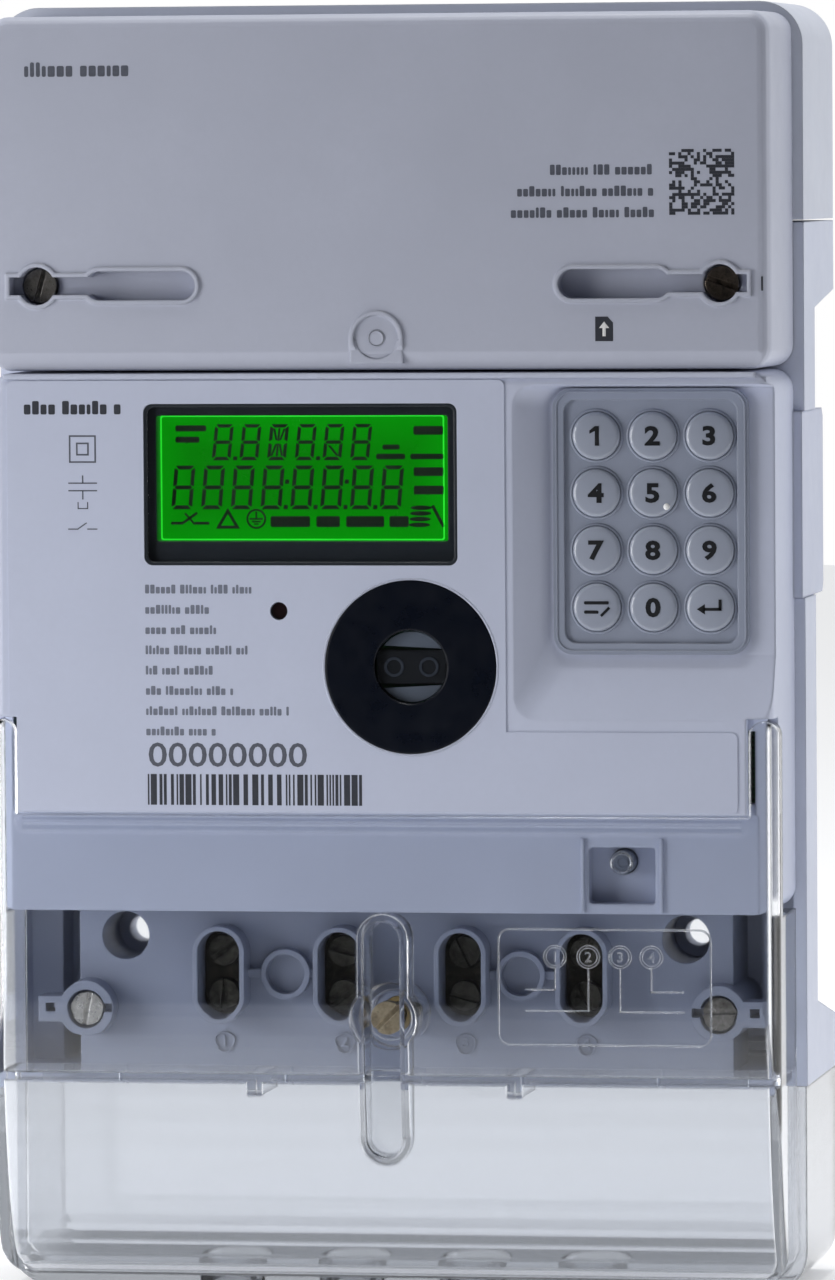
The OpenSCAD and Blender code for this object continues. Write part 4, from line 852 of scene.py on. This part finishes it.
switch_x, switch_z = centre("switch_plunger")
strip_y = FACE_Y + 3.4
flat_piece("switch_ridges", [rounded(switch_x + s * 7.3 - 0.35, switch_x + s * 7.3 + 0.35, -47.3, -33.5, 0.3)
                             for s in (-1, 1)],
           strip_y - 0.5, strip_y + 0.1, front_plastic, "meter")

# ------------------------------------------------------------- module's seal boss and the cover's top bead

SEAL_R = 3.85
SEAL_HALF = 4.75


def on_module(name, loops, front, back, rings=()):
    flat_piece(name, loops, FACE_Y + front, FACE_Y + back, module_front_painted_shade, "module", rings)


seal_z = outline_of("module_cover")[2] + 5.9
arch = [(-SEAL_HALF, seal_z - 0.2)] + [polar(0, seal_z, SEAL_R, a) for a in range(183, 358, 6)]
arch += [(SEAL_HALF, seal_z - 0.2), (5.0, seal_z - 4.7), (-5.0, seal_z - 4.7)]
on_module("seal_skirt", [arch], -0.12, 1.6)
on_module("seal_floor", [circle(0, seal_z, SEAL_R + 0.05)], 0.12, 1.2)
on_module("seal_plug", [circle(0, seal_z, 1.42)], -0.1, 0.4,
          [(circle(0, seal_z, 1.6), circle(0, seal_z, 1.3))])
bead_half = 0.6 - outline_of("front_label")[0]
bead_top = outline_of("front_cover")[3]
flat_piece("cover_top_bead", [bar(-bead_half, bead_half, bead_top - 1.15, bead_top - 0.12)],
           FACE_Y - 0.22, FACE_Y + 0.1, front_plastic, "meter")

# ------------------------------------------------------------- terminal block

TERMINAL_PITCH = 22.9
BLOCK_Y, MARK_Z = -40.0, -73.9
for i in range(4):
    tx = (i - 1.5) * TERMINAL_PITCH
    flat_piece("terminal_ring_%d" % (i + 1), [], BLOCK_Y - 0.4, BLOCK_Y + 0.1, block_plastic, "meter",
               [(circle(tx, MARK_Z, 2.0), circle(tx, MARK_Z, 1.7))])
    numeral("terminal_number_%d" % (i + 1), str(i + 1), tx, MARK_Z, 2.2, BLOCK_Y - 0.4, 0.5, block_plastic,
            "meter", 0.012)

# Knurled tip of the switch plunger
TEETH = 16
tip_y = front_of("switch_plunger")
knurl = [[polar(switch_x, switch_z, r, 360 / TEETH * k + d)
          for r, d in ((1.45, -5), (2.15, -5), (2.15, 5), (1.45, 5))] for k in range(TEETH)]
flat_piece("plunger_knurl", knurl, tip_y - 0.1, tip_y + 0.3, plunger_grey, "switch_plunger",
           [(circle(switch_x, switch_z, 1.15), circle(switch_x, switch_z, 0.75))])

# ---------------------------------------------------------------------- stage

FLOOR_R = 3.0
FLOOR_GAP = 0.0002
STUDIO_DARK = 0.03
floor_z = cad_box[0][2]
bm = bmesh.new()
bmesh.ops.create_circle(bm, cap_ends=True, segments=96, radius=FLOOR_R,
                        matrix=Matrix.Translation((0, 0, floor_z - FLOOR_GAP)))
mesh = bpy.data.meshes.new("studio_floor")
bm.to_mesh(mesh)
bm.free()
floor = bpy.data.objects.new("studio_floor", mesh)
bpy.context.scene.collection.objects.link(floor)
s = Shader("studio_floor")
s.link(s.mix(s.span(s.noise(0.4, 2), 0, 1), (0.90, 0.90, 0.91, 1), (0.93, 0.93, 0.94, 1)),
       s.bsdf.inputs["Base Color"])
s.set(Roughness=0.75, Specular_IOR_Level=0.2, Emission_Color=(1, 1, 1, 1), Emission_Strength=0.3)
# The floor looks dark to bounced light in front of the part, like the unlit front of a studio
part = s.add("ShaderNodeSeparateXYZ")
s.link(s.coords, part.inputs["Vector"])
path = s.add("ShaderNodeLightPath")
dim = s.add("ShaderNodeEmission")
dim.inputs["Color"].default_value = (STUDIO_DARK, STUDIO_DARK, STUDIO_DARK, 1)
swap = s.add("ShaderNodeMixShader")
away = s.math("MAXIMUM", path.outputs["Is Glossy Ray"],
              s.math("MULTIPLY", path.outputs["Is Diffuse Ray"], 0.75))
s.link(s.math("MULTIPLY", away, s.span(part.outputs["Y"], 1, 0, -0.45, -0.16)),
       swap.inputs["Fac"])
s.link(s.bsdf.outputs["BSDF"], swap.inputs[1])
s.link(dim.outputs["Emission"], swap.inputs[2])
s.link(swap.outputs["Shader"], s.out.inputs["Surface"])
mesh.materials.append(s.mat)

# White tent at the sides and behind, dark in front; the camera sees plain white
FRONTWARD = Vector((0.18, -0.98, 0.0)).normalized()
world = bpy.data.worlds.new("studio")
bpy.context.scene.world = world
world.use_nodes = True
tree = world.node_tree
tree.nodes.clear()
out = tree.nodes.new("ShaderNodeOutputWorld")
coords = tree.nodes.new("ShaderNodeTexCoord")
dot = tree.nodes.new("ShaderNodeVectorMath")
dot.operation = "DOT_PRODUCT"
dot.inputs[1].default_value = FRONTWARD
unit = tree.nodes.new("ShaderNodeVectorMath")
unit.operation = "NORMALIZE"
tree.links.new(coords.outputs["Generated"], unit.inputs[0])
tree.links.new(unit.outputs["Vector"], dot.inputs[0])
ramp = tree.nodes.new("ShaderNodeMapRange")
ramp.interpolation_type = "SMOOTHSTEP"
for key, number in (("From Min", 0.05), ("From Max", 0.58), ("To Min", 0.74), ("To Max", STUDIO_DARK)):
    ramp.inputs[key].default_value = number
tree.links.new(dot.outputs["Value"], ramp.inputs["Value"])
tent = tree.nodes.new("ShaderNodeBackground")
tent.inputs["Color"].default_value = (0.97, 0.985, 1.0, 1)
tree.links.new(ramp.outputs["Result"], tent.inputs["Strength"])
white = tree.nodes.new("ShaderNodeBackground")
white.inputs["Color"].default_value = (1, 1, 1, 1)
path = tree.nodes.new("ShaderNodeLightPath")
choose = tree.nodes.new("ShaderNodeMixShader")
tree.links.new(path.outputs["Is Camera Ray"], choose.inputs["Fac"])
tree.links.new(tent.outputs["Background"], choose.inputs[1])
tree.links.new(white.outputs["Background"], choose.inputs[2])
tree.links.new(choose.outputs["Shader"], out.inputs["Surface"])


def area(name, place, aim, size, power, height=None):
    """Area light in metres and watts, turned toward a point."""
    light = bpy.data.lights.new(name, "AREA")
    light.shape = "RECTANGLE" if height else "SQUARE"
    light.size = size
    if height:
        light.size_y = height
    light.energy = power
    lamp = bpy.data.objects.new(name, light)
    lamp.location = place
    lamp.rotation_euler = (Vector(aim) - Vector(place)).to_track_quat("-Z", "Y").to_euler()
    bpy.context.scene.collection.objects.link(lamp)


area("key_left", (-0.50, -0.36, -0.03), (-0.02, -0.06, -0.02), 0.3, 3.0, height=0.45)
area("top", (0.0, -0.12, 1.5), (0, -0.03, 0), 0.5, 13)
area("side_right", (0.62, 0.0, 0.02), (0.07, -0.03, 0.0), 0.3, 0.8, height=0.6)

# --------------------------------------------------------------------- camera

TARGET = Vector((7.294, -66.0, 3.0)) * MM
DISTANCE = 1.706
LENS = 261
YAW, LIFT, ROLL = math.radians(10), math.radians(3), math.radians(-0.4)
place = TARGET + DISTANCE * Vector((math.sin(YAW) * math.cos(LIFT), -math.cos(YAW) * math.cos(LIFT),
                                    math.sin(LIFT)))
camera_data = bpy.data.cameras.new("camera")
camera_data.lens = LENS
camera_data.sensor_width = 36
camera_data.clip_start = 0.05
camera_data.clip_end = 40
camera = bpy.data.objects.new("camera", camera_data)
camera.location = place
turn = (TARGET - place).to_track_quat("-Z", "Y") @ Quaternion((0, 0, 1), ROLL)
camera.rotation_euler = turn.to_euler()
bpy.context.scene.collection.objects.link(camera)
bpy.context.scene.camera = camera

view = bpy.context.scene.view_settings
view.view_transform = "Standard"
view.look = "None"
view.exposure = 0.0
view.gamma = 1.0
